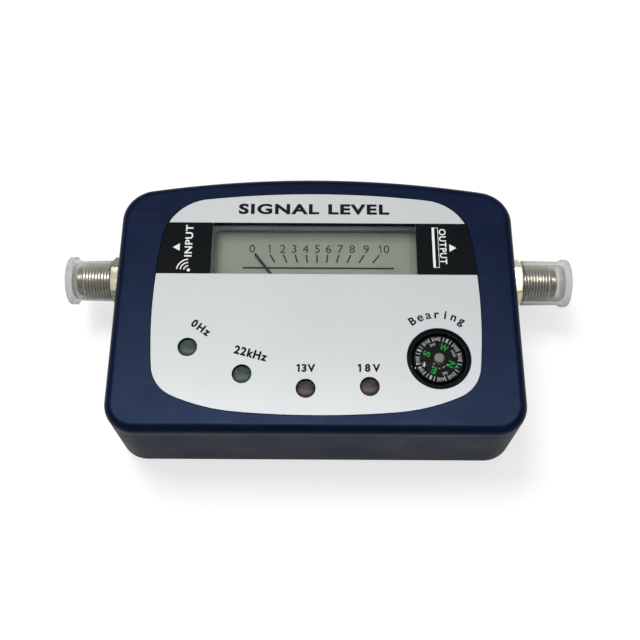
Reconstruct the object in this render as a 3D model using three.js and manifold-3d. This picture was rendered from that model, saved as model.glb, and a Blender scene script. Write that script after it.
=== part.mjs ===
// Hand-held meter for lining up a receiving dish: a drafted plastic housing with a printed face
// plate, a moving-coil meter, a compass, four lamps, a level wheel and two threaded coaxial
// connectors under push-on dust caps. Millimetres, +Z up, the near edge towards -Y. The origin is
// under the middle of the whole object.
import * as THREE from "three";
import { mergeVertices } from "three/addons/utils/BufferGeometryUtils.js";
import Module from "manifold-3d";

// Housing, measured at its top edge: the walls lean out below it.
const bodyWidth = 101.75;
const nearReach = 34.6;
const farReach = 34.6;
const bowRadius = 270;
const nearCornerRadius = 7.5;
const farCornerRadius = 8.9;
const bodyHeight = 26;
const wallThickness = 2.4;
const topThickness = 2.4;
const topEdgeRadius = 2.4;
const draftShare = 0.031;

// Clearances, the overrun of cuts and the distance within which corners count as one.
const seatGap = 0.1;
const slipGap = 0.12;
const pivotGap = 0.25;
const faceGap = 0.25;
const overrun = 2;
const weldDistance = 1e-4;

// Back cover, let into the housing's rim, with its screws and the bosses that take them.
const coverThickness = 2;
const coverRimWall = 1.3;
const bossRadius = 3.4;
const bossSideInset = 7.2;
const bossNearInset = 7.2;
const bossFarInset = 9.9;
const bossPilotRadius = 1.25;
const bossPilotDepth = 9;
const coverPadRadius = 4;
const coverPadHeight = 1.6;
const screwHeadRadius = 2.6;
const screwHeadHeight = 1.6;
const screwHeadSink = 0.6;
const screwShankRadius = 1.1;
const screwLength = 10;
const screwSlotWidth = 0.7;
const screwSlotDepth = 0.7;

// Printed face plate in its shallow recess.
const plateThickness = 0.5;
const plateFarReach = 29.36;
const plateNearReach = 30.43;
const plateHalfWidth = 40.87;
const plateWaistPlace = -2.5;
const plateFarRadius = 239;
const plateNearRadius = 233;
const plateSideRadius = 138;
const plateFarCornerRadius = 12.5;
const plateNearCornerRadius = 9;
const plateShoulderPlace = 19;
const plateShoulderRadius = 49;

// Window over the meter's scale, its ends measured from the ends of the meter's wings.
const windowLeftInset = 1.52;
const windowRightInset = 3.01;
const windowNear = 6.29;
const windowFar = 20.84;
const windowRelief = 0.35;
const windowSink = 0.6;

// Meter, about its own pivot.
const pivotPlaceX = 0.06;
const pivotPlaceY = -7.31;
const meterWall = 1.2;
const wingHalfWidth = 28.4;
const wingFarPlace = 22.4;
const wingNearPlace = 5.8;
const wellHalfWidth = 13.5;
const wellShoulderPlace = -1.2;
const wellFarPlace = 4.7;
const wellNearPlace = -18.9;
const meterCornerRadius = 1.6;
const meterCoverThickness = 1.15;
const windowPaneThickness = 1;
const scaleDepth = 5.4;
const scaleThickness = 0.6;
const scaleNearPlace = 3.9;
const degreesPerMark = 7.45;
const marksFromRestToMiddle = 5;
const windowLeft = pivotPlaceX - wingHalfWidth + windowLeftInset;
const windowRight = pivotPlaceX + wingHalfWidth - windowRightInset;

// Movement inside the meter.
const yokeOuterRadius = 9.8;
const yokeInnerRadius = 8.4;
const yokeHeight = 9.5;
const coreRadius = 5;
const coreHeight = 4.5;
const holderHalfWidth = 1.5;
const holderReach = 7.9;
const holderThickness = 0.8;
const coilInnerHalfWidth = 5.9;
const coilOuterHalfWidth = 6.9;
const coilThickness = 2;
const coilBarHeight = 0.8;
const coilWindowHeight = 6.4;
const jewelRadius = 1.3;
const jewelHeight = 0.8;
const jewelBoreRadius = 0.6;
const jewelBoreDepth = 0.5;
const pivotPinRadius = 0.3;
const lowerCollarRadius = 1;
const lowerCollarHeight = 0.5;
const hubRadius = 1.5;
const hubHeight = 1;
const hubNeckRadius = 1;
const hubNeckHeight = 0.6;
const hubPinHeight = 0.4;
const needleWidth = 0.55;
const needleThickness = 0.5;
const needleLength = 26.7;
const needleRootReach = 4.5;
const needleRampReach = 9.5;
const needleScaleGap = 0.6;
const needleTailReach = 6;
const weightRadius = 1;
const weightHeight = 0.7;
const bridgeHalfWidth = 2;
const bridgeReach = 9.4;
const bridgeThickness = 0.8;
const jewelScrewRadius = 1.2;
const jewelScrewHeight = 1.95;
const springStripWidth = 0.16;
const springStripHeight = 0.4;
const springInnerRadius = 1.15;
const springPitch = 0.6;
const springTurns = 3;
const springLugSize = 0.7;
const terminalHeadRadius = 1;
const terminalHeadHeight = 0.75;
const terminalPinRadius = 0.5;
const terminalWallGap = 0.7;
const terminalPlaceX = wellHalfWidth - meterWall - terminalHeadRadius - terminalWallGap;
const terminalPlaceY = -9;

// Circuit board and what is soldered to it.
const boardInset = 5;
const boardBottom = 5.6;
const boardThickness = 1.6;
const boardBossGap = 0.8;
const leadTail = 0.8;
const leadHoleGap = 0.15;
const postRadius = 2.5;
const postPilotRadius = 0.95;
const postPilotDepth = 6;
const boardScrewHeadRadius = 2;
const boardScrewHeadHeight = 1.4;
const boardScrewShankRadius = 0.8;
const boardScrewGrip = 5;
const leftPostX = -38.5;
const leftPostY = -13;
const rightPostX = 38.5;
const rightPostY = -4;
const nearPostX = 5.3;
const nearPostShare = 0.5639;
const nearPostY = wellNearPlace - nearPostShare * (wellNearPlace + nearReach - wallThickness);
const chipX = -32;
const chipY = 4;
const chipLength = 9.6;
const chipWidth = 6.4;
const chipHeight = 3.2;
const chipStandOff = 0.5;
const chipPinsPerSide = 4;
const chipPinPitch = 2.54;
const chipPinWidth = 0.5;
const chipPinSplay = 0.7;
const capacitorX = 33;
const capacitorY = 20;
const capacitorRadius = 3.15;
const capacitorHeight = 7;
const capacitorGroove = 0.3;
const capacitorGroovePlace = 1.2;
const chokeX = 22;
const chokeY = 0;
const chokeFlangeRadius = 4;
const chokeWaistRadius = 3;
const chokeFlangeThickness = 1;
const chokeHeight = 6;

// Lamps: 5 mm class domes that stand in their holes just under the face.
const lampRadius = 2.3;
const lampFlangeRadius = 2.85;
const lampFlangeHeight = 1;
const lampLength = 8.6;
const lampSink = 0.4;
const lampHoleRadius = 2.4;
const lampLegWidth = 0.5;
const lampLegPitch = 2.54;
const toneOffX = -31.44;
const toneOffY = -13.44;
const toneOnX = -17.92;
const toneOnY = -20.25;
const lowVoltX = -2.43;
const lowVoltY = -23.81;
const highVoltX = 12.97;
const highVoltY = -23.27;

// Compass in its cup.
const compassX = 29.94;
const compassY = -16.03;
const compassHoleRadius = 7.875;
const cupRadius = 7.6;
const cupFlangeRadius = 9.2;
const cupFlangeHeight = 1.8;
const cupDepth = 4.6;
const cupFloor = 1.2;
const cupRimSink = 0.15;
const cupRimWidth = 0.35;
const cupSeatDepth = 0.45;
const cupSeatWidth = 0.55;
const cupChamberRadius = 6.3;
const cupSlopeDepth = 0.6;
const domeThickness = 0.6;
const domeRise = 1.3;
const cardRadius = 5.95;
const cardThickness = 0.35;
const cardDepth = 0.65;
const cardHoleRadius = 1.05;
const compassMagnetLength = 8.6;
const compassMagnetWidth = 2.6;
const compassMagnetHeight = 0.8;
const capRadius = 1.25;
const capHeight = 1.05;
const capEdge = 0.3;
const capStemRadius = 0.95;
const capStemBoreRadius = 0.6;
const capStemLength = 1.6;
const pinRadius = 0.45;
const pinFootRadius = 1.1;
const pinFootHeight = 0.6;
const northTurnDegrees = -117;

// Level control: a knurled wheel that shows through a slot in the far wall.
const wheelX = -24;
const wheelRadius = 8;
const wheelStandOut = 1.2;
const wheelThickness = 3;
const wheelTeeth = 32;
const wheelToothDepth = 0.4;
const wheelHubRise = 0.4;
const wheelBoreGap = 0.08;
const potRadius = 3.8;
const potHeight = 2;
const potShaftRadius = 1.45;
const potShaftRise = 0.3;
const wheelSlotGap = 0.5;

// Connectors, measured outwards along their own axis from the middle of the housing.
const connectorY = 9.95;
const connectorHeight = 13;
const threadRadius = 4.76;
const threadRootRadius = 4.3;
const threadPitch = 0.794;
const threadStart = 54.5;
const threadEnd = 61.8;
const noseRadius = 4;
const noseEnd = 63.6;
const barrelRadius = 4;
const barrelStart = 42.6;
const barrelFlangeRadius = 6.6;
const barrelFlangeThickness = 2.1;
const innerPadPlace = 48.6;
const innerPadRadius = 8;
const spotFaceRadius = 7;
const connectorHoleRadius = 4.95;
const barrelBoreRadius = 3.3;
const insulatorInset = 0.8;
const insulatorBoreRadius = 0.9;
const contactRadius = 0.6;
const contactInset = 2;
const contactTailPlace = 38;
const groundLeadPlace = 44.5;
const groundLeadRadius = 0.45;
const washerRadius = 6.2;
const washerThickness = 0.6;
const nutFlats = 11.1;
const nutSides = 6;
const nutThickness = 2.6;
const nutTurnDegrees = 21.7;

// Push-on dust caps: the right one is a wider and longer moulding than the left one.
const dustCapEndThickness = 1.4;
const dustCapFlare = 0.15;
const dustCapFlangeRadius = 6.4;
const dustCapFlangeThickness = 1.7;
const dustCapEdge = 0.5;
const leftCapEnd = 65.95;
const leftCapLength = 11.35;
const leftCapTubeRadius = 5.3;
const rightCapEnd = 67;
const rightCapLength = 12.1;
const rightCapTubeRadius = 5.85;

// Facets of round work.
const fineFacets = 28;
const plainFacets = 16;
const smallFacets = 8;
const tinyFacets = 6;
const outlineFacets = 4;
const edgeFacets = 3;

const wasm = await Module();
wasm.setup();

// Heights that several pieces share.
const topUnderside = bodyHeight - topThickness;
const boardTop = boardBottom + boardThickness;
const bossBottom = coverThickness + coverPadHeight + seatGap;
const meterCoverTop = topUnderside - seatGap;
const meterRim = meterCoverTop - meterCoverThickness - seatGap;
const meterBottom = boardTop + seatGap;
const wellFloor = meterBottom + meterWall;
const scaleTop = bodyHeight - scaleDepth;
const wingFloor = scaleTop - scaleThickness;
const movementBase = wellFloor + seatGap;
const coilBottom = movementBase + jewelHeight + seatGap + lowerCollarHeight + seatGap;
const coilWindowBottom = coilBottom + coilBarHeight;
const coilTop = coilWindowBottom + coilWindowHeight + coilBarHeight;
const hubBottom = coilTop + seatGap / 2;
const hubTop = hubBottom + hubHeight;
const bridgeBottom = hubTop + hubNeckHeight + pivotGap;
const needleLevel = scaleTop + needleScaleGap;
const restTurn = THREE.MathUtils.degToRad(degreesPerMark * marksFromRestToMiddle);

// Solids and geometry.

function solidOf(geometry) {
  const bare = geometry.clone();
  bare.deleteAttribute("normal");
  bare.deleteAttribute("uv");
  const merged = mergeVertices(bare, weldDistance);
  return new wasm.Manifold(
    new wasm.Mesh({
      numProp: 3,
      vertProperties: merged.attributes.position.array,
      triVerts: new Uint32Array(merged.index.array),
    }),
  );
}

function geometryOf(solid) {
  const mesh = solid.getMesh();
  const geometry = new THREE.BufferGeometry();
  geometry.setAttribute("position", new THREE.BufferAttribute(new Float32Array(mesh.vertProperties), 3));
  geometry.setIndex(new THREE.BufferAttribute(new Uint32Array(mesh.triVerts), 1));
  return geometry;
}

function join(...geometries) {
  const solids = geometries.map(solidOf);
  return geometryOf(solids.reduce((whole, solid) => whole.add(solid)));
}

function cut(geometry, ...tools) {
  return geometryOf(tools.map(solidOf).reduce((whole, tool) => whole.subtract(tool), solidOf(geometry)));
}

function block(low, high) {
  const size = high.map((value, axis) => value - low[axis]);
  const middle = high.map((value, axis) => (value + low[axis]) / 2);
  return new THREE.BoxGeometry(...size).translate(...middle);
}

function disc(x, y, radius, bottom, top, facets = plainFacets) {
  const geometry = new THREE.CylinderGeometry(radius, radius, top - bottom, facets);
  return geometry.rotateX(Math.PI / 2).translate(x, y, (top + bottom) / 2);
}

// Turned about +Z: the profile's points are [radius, height], anticlockwise.
function turned(profile, facets = plainFacets) {
  const points = profile.map(([radius, height]) => new THREE.Vector2(radius, height));
  return new THREE.LatheGeometry(points, facets).rotateX(Math.PI / 2);
}

function prism(shape, bottom, top, facets = outlineFacets) {
  const settings = { depth: top - bottom, bevelEnabled: false, curveSegments: facets };
  return new THREE.ExtrudeGeometry(shape, settings).translate(0, 0, bottom);
}

// A polygon with every corner rounded to the same radius.
function roundedPolygon(corners, radius) {
  const shape = new THREE.Shape();
  corners.forEach((corner, index) => {
    const before = corners[(index + corners.length - 1) % corners.length];
    const after = corners[(index + 1) % corners.length];
    const back = new THREE.Vector2(before[0] - corner[0], before[1] - corner[1]).normalize();
    const ahead = new THREE.Vector2(after[0] - corner[0], after[1] - corner[1]).normalize();
    const halfAngle = Math.acos(back.dot(ahead)) / 2;
    const setBack = radius / Math.tan(halfAngle);
    const start = [corner[0] + back.x * setBack, corner[1] + back.y * setBack];
    const end = [corner[0] + ahead.x * setBack, corner[1] + ahead.y * setBack];
    if (index === 0) shape.moveTo(...start);
    else shape.lineTo(...start);
    shape.quadraticCurveTo(...corner, ...end);
  });
  shape.closePath();
  return shape;
}

// Where a circle of the given radius lies to touch two circles from inside.
function filletCentre(first, firstRadius, second, secondRadius, side) {
  const span = first.distanceTo(second);
  const along = (firstRadius ** 2 - secondRadius ** 2 + span ** 2) / (2 * span);
  const across = Math.sqrt(firstRadius ** 2 - along ** 2);
  const direction = second.clone().sub(first).normalize();
  const normal = new THREE.Vector2(-direction.y, direction.x).multiplyScalar(side * across);
  return first.clone().add(direction.multiplyScalar(along)).add(normal);
}

function angleFrom(centre, point) {
  return Math.atan2(point.y - centre.y, point.x - centre.x);
}

// Housing outline at the top edge, drawn in by an inset.
function bodyOutline(inset) {
  const halfWidth = bodyWidth / 2 - inset;
  const near = nearReach - inset;
  const nearRadius = nearCornerRadius - inset;
  const farRadius = farCornerRadius - inset;
  const bow = bowRadius - inset;
  const bowCentre = farReach - bowRadius;
  const nearCentreX = halfWidth - nearRadius;
  const nearCentreY = nearRadius - near;
  const farCentreX = halfWidth - farRadius;
  const farCentreY = bowCentre + Math.sqrt((bow - farRadius) ** 2 - farCentreX ** 2);
  const bowAngle = Math.atan2(farCentreY - bowCentre, farCentreX);
  const shape = new THREE.Shape();
  shape.moveTo(-nearCentreX, -near);
  shape.lineTo(nearCentreX, -near);
  shape.absarc(nearCentreX, nearCentreY, nearRadius, -Math.PI / 2, 0, false);
  shape.lineTo(halfWidth, farCentreY);
  shape.absarc(farCentreX, farCentreY, farRadius, 0, bowAngle, false);
  shape.absarc(0, bowCentre, bow, bowAngle, Math.PI - bowAngle, false);
  shape.absarc(-farCentreX, farCentreY, farRadius, Math.PI - bowAngle, Math.PI, false);
  shape.lineTo(-halfWidth, nearCentreY);
  shape.absarc(-nearCentreX, nearCentreY, nearRadius, Math.PI, Math.PI * 1.5, false);
  return shape;
}

// Walls lean outwards below the top edge.
function drafted(geometry) {
  const position = geometry.getAttribute("position");
  for (let index = 0; index < position.count; index += 1) {
    const growth = draftShare * (bodyHeight - position.getZ(index));
    const x = position.getX(index) * (1 + growth / (bodyWidth / 2));
    const y = position.getY(index) * (1 + growth / nearReach);
    position.setXY(index, x, y);
  }
  return geometry;
}

function sideWallAt(height) {
  return bodyWidth / 2 + draftShare * (bodyHeight - height);
}

function farWallAt(x, height) {
  const bowDrop = bowRadius - Math.sqrt(bowRadius ** 2 - x ** 2);
  return farReach - bowDrop + draftShare * (bodyHeight - height);
}

// Face plate outline, drawn out by a margin: four shallow arcs with rounded corners, and a tighter
// shoulder at each end of the near arc.
function plateOutline(margin) {
  const farRadius = plateFarRadius + margin;
  const nearRadius = plateNearRadius + margin;
  const sideRadius = plateSideRadius + margin;
  const farCorner = plateFarCornerRadius + margin;
  const nearCorner = plateNearCornerRadius + margin;
  const farCentre = new THREE.Vector2(0, plateFarReach - plateFarRadius);
  const nearCentre = new THREE.Vector2(0, plateNearRadius - plateNearReach);
  const sideCentre = new THREE.Vector2(plateHalfWidth - plateSideRadius, plateWaistPlace);
  const far = filletCentre(farCentre, farRadius - farCorner, sideCentre, sideRadius - farCorner, -1);
  const bendAngle = -Math.acos(plateShoulderPlace / plateNearRadius);
  const bend = new THREE.Vector2(Math.cos(bendAngle), Math.sin(bendAngle));
  const shoulderCentre = nearCentre.clone().addScaledVector(bend, plateNearRadius - plateShoulderRadius);
  const shoulder = plateShoulderRadius + margin;
  const near = filletCentre(shoulderCentre, shoulder - nearCorner, sideCentre, sideRadius - nearCorner, 1);
  const farAngle = angleFrom(farCentre, far);
  const nearAngle = angleFrom(shoulderCentre, near);
  const sideFarAngle = angleFrom(sideCentre, far);
  const sideNearAngle = angleFrom(sideCentre, near);
  const shape = new THREE.Shape();
  shape.absarc(nearCentre.x, nearCentre.y, nearRadius, -Math.PI - bendAngle, bendAngle, false);
  shape.absarc(shoulderCentre.x, shoulderCentre.y, shoulder, bendAngle, nearAngle, false);
  shape.absarc(near.x, near.y, nearCorner, nearAngle, sideNearAngle, false);
  shape.absarc(sideCentre.x, sideCentre.y, sideRadius, sideNearAngle, sideFarAngle, false);
  shape.absarc(far.x, far.y, farCorner, sideFarAngle, farAngle, false);
  shape.absarc(farCentre.x, farCentre.y, farRadius, farAngle, Math.PI - farAngle, false);
  shape.absarc(-far.x, far.y, farCorner, Math.PI - farAngle, Math.PI - sideFarAngle, false);
  shape.absarc(
    -sideCentre.x, sideCentre.y, sideRadius, Math.PI - sideFarAngle, Math.PI - sideNearAngle, false,
  );
  shape.absarc(-near.x, near.y, nearCorner, Math.PI - sideNearAngle, Math.PI - nearAngle, false);
  shape.absarc(
    -shoulderCentre.x, shoulderCentre.y, shoulder, Math.PI - nearAngle, Math.PI - bendAngle, false,
  );
  return shape;
}

function windowBlock(margin, bottom, top) {
  return block(
    [windowLeft - margin, windowNear - margin, bottom],
    [windowRight + margin, windowFar + margin, top],
  );
}

const farBossY = farReach - bossFarInset;
const nearBossY = bossNearInset - nearReach;
const bossX = bodyWidth / 2 - bossSideInset;
const bosses = {
  near_left: [-bossX, nearBossY],
  near_right: [bossX, nearBossY],
  far_left: [-bossX, farBossY],
  far_right: [bossX, farBossY],
};
const posts = {
  left: [leftPostX, leftPostY],
  right: [rightPostX, rightPostY],
  near: [nearPostX, nearPostY],
};
const lamps = {
  lamp_tone_off: [toneOffX, toneOffY, "#2f5c46"],
  lamp_tone_on: [toneOnX, toneOnY, "#2f5c46"],
  lamp_low_volt: [lowVoltX, lowVoltY, "#6b3f42"],
  lamp_high_volt: [highVoltX, highVoltY, "#6b3f42"],
};
const sides = { left: -1, right: 1 };
const caps = {
  left: [leftCapEnd, leftCapLength, leftCapTubeRadius],
  right: [rightCapEnd, rightCapLength, rightCapTubeRadius],
};
const wheelBottom = boardTop + seatGap + potHeight + seatGap;
const wheelTop = wheelBottom + wheelThickness;
const wheelY = farWallAt(wheelX, (wheelBottom + wheelTop) / 2) + wheelStandOut - wheelRadius;
const spotFacePlace = sideWallAt(connectorHeight + spotFaceRadius) - seatGap;

const assembly = new THREE.Group();
assembly.position.x = (leftCapEnd - rightCapEnd) / 2;

function material(color, roughness, metalness = 0) {
  return new THREE.MeshStandardMaterial({ color, roughness, metalness });
}

const bluePlastic = material("#1a2440", 0.5);
const silverPrint = material("#d2d6d8", 0.35, 0.2);
const clearPlastic = material("#d9e0dd", 0.1);
const greyPlastic = material("#8d9192", 0.5);
const scalePrint = material("#b9baa4", 0.6);
const blackPlastic = material("#121416", 0.45);
const blackPaint = material("#1d211f", 0.5);
const nickel = material("#c9c5ba", 0.25, 1);
const steel = material("#9a9c9e", 0.4, 1);
const magnetSteel = material("#5e5f61", 0.5, 0.8);
const copper = material("#a2592c", 0.35, 1);
const brass = material("#b2924f", 0.35, 1);
const boardGreen = material("#1f5a38", 0.5);
const insulatorWhite = material("#e6e3d8", 0.5);
const milkyPlastic = material("#b4b5b0", 0.35);
const jewelTan = material("#8a7f6a", 0.4);

function add(name, geometry, finish, parent = assembly) {
  const mesh = new THREE.Mesh(geometry, finish);
  mesh.name = name;
  parent.add(mesh);
  return mesh;
}

// Housing and cover.

function connectorCut(side, radius, from, to) {
  const bore = new THREE.CylinderGeometry(radius, radius, to - from, fineFacets).rotateZ(Math.PI / 2);
  return bore.translate(side * (from + to) / 2, connectorY, connectorHeight);
}

function makeHousing() {
  const settings = {
    depth: bodyHeight + overrun - topEdgeRadius,
    bevelEnabled: true,
    bevelSegments: edgeFacets,
    bevelSize: topEdgeRadius,
    bevelThickness: topEdgeRadius,
    bevelOffset: -topEdgeRadius,
    curveSegments: outlineFacets,
  };
  const outer = new THREE.ExtrudeGeometry(bodyOutline(0), settings).translate(0, 0, -overrun);
  const reach = bodyWidth + overrun;
  const below = block([-reach, -reach, -reach], [reach, reach, 0]);
  const cavity = drafted(prism(bodyOutline(wallThickness), -overrun, topUnderside));
  let shell = cut(drafted(outer), below, cavity);
  shell = cut(shell, drafted(prism(bodyOutline(coverRimWall), -overrun, coverThickness + seatGap)));
  const pads = Object.values(sides).map((side) =>
    connectorCut(side, innerPadRadius, innerPadPlace, sideWallAt(bodyHeight)));
  const bossCores = Object.values(bosses).map(([x, y]) =>
    disc(x, y, bossRadius, bossBottom, bodyHeight - topThickness / 2));
  const postCores = Object.values(posts).map(([x, y]) =>
    disc(x, y, postRadius, boardTop + seatGap, bodyHeight - topThickness / 2));
  shell = join(shell, ...pads, ...bossCores, ...postCores);
  const bossBores = Object.values(bosses).map(([x, y]) =>
    disc(x, y, bossPilotRadius, bossBottom - overrun, bossBottom + bossPilotDepth, smallFacets));
  const postBores = Object.values(posts).map(([x, y]) =>
    disc(x, y, postPilotRadius, boardTop - overrun, boardTop + postPilotDepth, smallFacets));
  const lampBores = Object.values(lamps).map(([x, y]) =>
    disc(x, y, lampHoleRadius, topUnderside - overrun, bodyHeight + overrun));
  const cupBoreRadius = cupRadius + slipGap;
  const boreLow = topUnderside - overrun;
  const boreHigh = bodyHeight + overrun;
  const cupBore = disc(compassX, compassY, cupBoreRadius, boreLow, boreHigh, fineFacets);
  const recess = prism(plateOutline(faceGap), bodyHeight - plateThickness, bodyHeight + overrun);
  const windowCut = windowBlock(windowRelief, topUnderside - overrun, bodyHeight + overrun);
  const connectorBores = Object.values(sides).map((side) =>
    connectorCut(side, connectorHoleRadius, innerPadPlace - overrun, sideWallAt(0) + overrun));
  const spotFaces = Object.values(sides).map((side) =>
    connectorCut(side, spotFaceRadius, spotFacePlace, sideWallAt(0) + overrun));
  const slotHalf = wheelRadius + wheelSlotGap;
  const wheelSlot = block(
    [wheelX - slotHalf, wheelY, wheelBottom - wheelSlotGap],
    [wheelX + slotHalf, farReach + overrun * 2, wheelTop + wheelSlotGap],
  );
  return cut(shell, ...bossBores, ...postBores, ...lampBores, cupBore, recess, windowCut,
    ...connectorBores, ...spotFaces, wheelSlot);
}

function makeBackCover() {
  const plate = drafted(prism(bodyOutline(coverRimWall + seatGap), 0, coverThickness));
  const pads = Object.values(bosses).map(([x, y]) =>
    disc(x, y, coverPadRadius, coverThickness / 2, coverThickness + coverPadHeight));
  const sinkTop = screwHeadSink + screwHeadHeight + seatGap;
  const sinks = Object.values(bosses).map(([x, y]) =>
    disc(x, y, screwHeadRadius + faceGap, -overrun, sinkTop));
  const bores = Object.values(bosses).map(([x, y]) =>
    disc(x, y, screwShankRadius + faceGap, -overrun, coverThickness + coverPadHeight + overrun, smallFacets));
  return cut(join(plate, ...pads), ...sinks, ...bores);
}

// A cross-slotted screw with its head down, under the face that it holds.
function makeScrew(x, y, headBottom, headRadius, headHeight, shankRadius, length) {
  const shankTop = headBottom + headHeight + length;
  const body = turned([
    [0, headBottom],
    [headRadius, headBottom],
    [headRadius, headBottom + headHeight],
    [shankRadius, headBottom + headHeight],
    [shankRadius, shankTop - shankRadius],
    [0, shankTop],
  ], smallFacets).translate(x, y, 0);
  const half = screwSlotWidth / 2;
  const reach = headRadius / 2;
  const slotTop = headBottom + screwSlotDepth;
  const slots = [[reach, half], [half, reach]].map(([dx, dy]) =>
    block([x - dx, y - dy, headBottom - overrun], [x + dx, y + dy, slotTop]));
  return cut(body, ...slots);
}

add("top_housing", makeHousing(), bluePlastic);
add("back_cover", makeBackCover(), bluePlastic);
for (const [place, [x, y]] of Object.entries(bosses)) {
  const screw = makeScrew(
    x, y, screwHeadSink, screwHeadRadius, screwHeadHeight, screwShankRadius, screwLength,
  );
  add(`cover_screw_${place}`, screw, steel);
}

// Face plate.

function makeFacePlate() {
  const plate = prism(plateOutline(0), bodyHeight - plateThickness, bodyHeight);
  const low = bodyHeight - plateThickness - overrun;
  const high = bodyHeight + overrun;
  const lampBores = Object.values(lamps).map(([x, y]) => disc(x, y, lampHoleRadius, low, high));
  const compassBore = disc(compassX, compassY, compassHoleRadius, low, high, fineFacets);
  return cut(plate, windowBlock(0, low, high), ...lampBores, compassBore);
}

add("face_overlay", makeFacePlate(), silverPrint);

// Meter case, scale and clear cover.

function meterOutline(inset) {
  const wing = wingHalfWidth - inset;
  const well = wellHalfWidth - inset;
  const corners = [
    [wing, wingFarPlace - inset],
    [-wing, wingFarPlace - inset],
    [-wing, wingNearPlace + inset / 2],
    [-well, wellShoulderPlace + inset / 2],
    [-well, wellNearPlace + inset],
    [well, wellNearPlace + inset],
    [well, wellShoulderPlace + inset / 2],
    [wing, wingNearPlace + inset / 2],
  ];
  return roundedPolygon(corners, meterCornerRadius);
}

function wellBlock(inset, bottom, top) {
  return block(
    [-wellHalfWidth + inset, wellNearPlace + inset, bottom],
    [wellHalfWidth - inset, wellFarPlace - inset, top],
  );
}

const springLugPlace = springInnerRadius + springPitch * springTurns + springStripWidth + pivotGap;

function makeMeterCase() {
  const wing = prism(meterOutline(0), wingFloor - meterWall, meterRim);
  const tub = join(wing, wellBlock(0, meterBottom, meterRim));
  const wingSpace = prism(meterOutline(meterWall), wingFloor, meterRim + overrun);
  const hollow = cut(tub, wingSpace, wellBlock(meterWall, wellFloor, meterRim + overrun));
  const lugTop = coilBottom - seatGap;
  const lug = block(
    [springLugPlace, pivotPlaceY - springLugSize / 2, wellFloor - meterWall / 2],
    [springLugPlace + springLugSize, pivotPlaceY + springLugSize / 2, lugTop],
  );
  const boreY = pivotPlaceY + terminalPlaceY;
  const boreRadius = terminalPinRadius + slipGap;
  const bores = [-terminalPlaceX, terminalPlaceX].map((x) =>
    disc(x, boreY, boreRadius, meterBottom - overrun, wellFloor + overrun, tinyFacets));
  return cut(join(hollow, lug), ...bores);
}

function makeMeterCover() {
  const plate = prism(meterOutline(0), meterCoverTop - meterCoverThickness, meterCoverTop);
  const paneTop = bodyHeight - windowSink;
  const paneBottom = paneTop - windowPaneThickness;
  const margin = seatGap - meterWall;
  const raised = windowBlock(seatGap, meterCoverTop - meterCoverThickness, paneTop);
  const hollow = windowBlock(margin, meterCoverTop - overrun * 2, paneBottom);
  return cut(join(plate, raised.translate(-pivotPlaceX, 0, 0)), hollow.translate(-pivotPlaceX, 0, 0));
}

function makeScalePlate() {
  const half = wingHalfWidth - meterWall - faceGap;
  const far = wingFarPlace - meterWall - faceGap;
  const sheet = block([-half, scaleNearPlace, wingFloor], [half, far, scaleTop]);
  const inner = prism(meterOutline(meterWall + faceGap), wingFloor - overrun, scaleTop + overrun);
  return geometryOf(solidOf(sheet).intersect(solidOf(inner)));
}

const meter = new THREE.Group();
meter.position.x = pivotPlaceX;
assembly.add(meter);
add("meter_case", makeMeterCase(), greyPlastic, meter);
add("meter_cover", makeMeterCover(), clearPlastic, meter);
add("scale_plate", makeScalePlate(), scalePrint, meter);
for (const [side, sign] of Object.entries(sides)) {
  const pinBottom = boardBottom - leadTail;
  const terminal = turned([
    [0, pinBottom],
    [terminalPinRadius, pinBottom],
    [terminalPinRadius, wellFloor + seatGap],
    [terminalHeadRadius, wellFloor + seatGap],
    [terminalHeadRadius, wellFloor + seatGap + terminalHeadHeight],
    [0, wellFloor + seatGap + terminalHeadHeight],
  ], tinyFacets).translate(sign * terminalPlaceX, pivotPlaceY + terminalPlaceY, 0);
  add(`meter_terminal_${side}`, terminal, brass, meter);
}

// Fixed part of the movement, about the pivot.

const movement = new THREE.Group();
movement.position.set(pivotPlaceX, pivotPlaceY, 0);
assembly.add(movement);

const yokeTop = movementBase + yokeHeight;
const holderTop = coilWindowBottom + faceGap + holderThickness;

function makeYoke() {
  return turned([
    [yokeInnerRadius, movementBase],
    [yokeOuterRadius, movementBase],
    [yokeOuterRadius, yokeTop],
    [yokeInnerRadius, yokeTop],
    [yokeInnerRadius, movementBase],
  ], fineFacets);
}

function makeCoreHolder() {
  const outer = block(
    [-holderHalfWidth, -holderReach, movementBase],
    [holderHalfWidth, holderReach, holderTop],
  );
  const gapReach = holderReach - holderThickness;
  const width = holderHalfWidth + overrun;
  const gap = block(
    [-width, -gapReach, movementBase - overrun],
    [width, gapReach, holderTop - holderThickness],
  );
  return cut(outer, gap);
}

function makeBridge() {
  const top = bridgeBottom + bridgeThickness;
  const legBottom = yokeTop + seatGap;
  const strap = block([-bridgeReach, -bridgeHalfWidth, legBottom], [bridgeReach, bridgeHalfWidth, top]);
  const gapReach = bridgeReach - bridgeThickness;
  const width = bridgeHalfWidth + overrun;
  const gap = block([-gapReach, -width, legBottom - overrun], [gapReach, width, bridgeBottom]);
  const lug = block(
    [springLugPlace, -springLugSize / 2, hubTop + seatGap],
    [springLugPlace + springLugSize, springLugSize / 2, bridgeBottom + bridgeThickness / 2],
  );
  const bore = disc(0, 0, jewelScrewRadius + slipGap, bridgeBottom - overrun, top + overrun, smallFacets);
  return cut(join(cut(strap, gap), lug), bore);
}

// A seat for a pivot pin: a plug with a blind bore in one end.
function makeJewel(radius, bottom, top, boreUp) {
  const plug = disc(0, 0, radius, bottom, top, smallFacets);
  const boreLow = boreUp ? top - jewelBoreDepth : bottom - overrun;
  const boreHigh = boreUp ? top + overrun : bottom + jewelBoreDepth;
  return cut(plug, disc(0, 0, jewelBoreRadius, boreLow, boreHigh, smallFacets));
}

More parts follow.
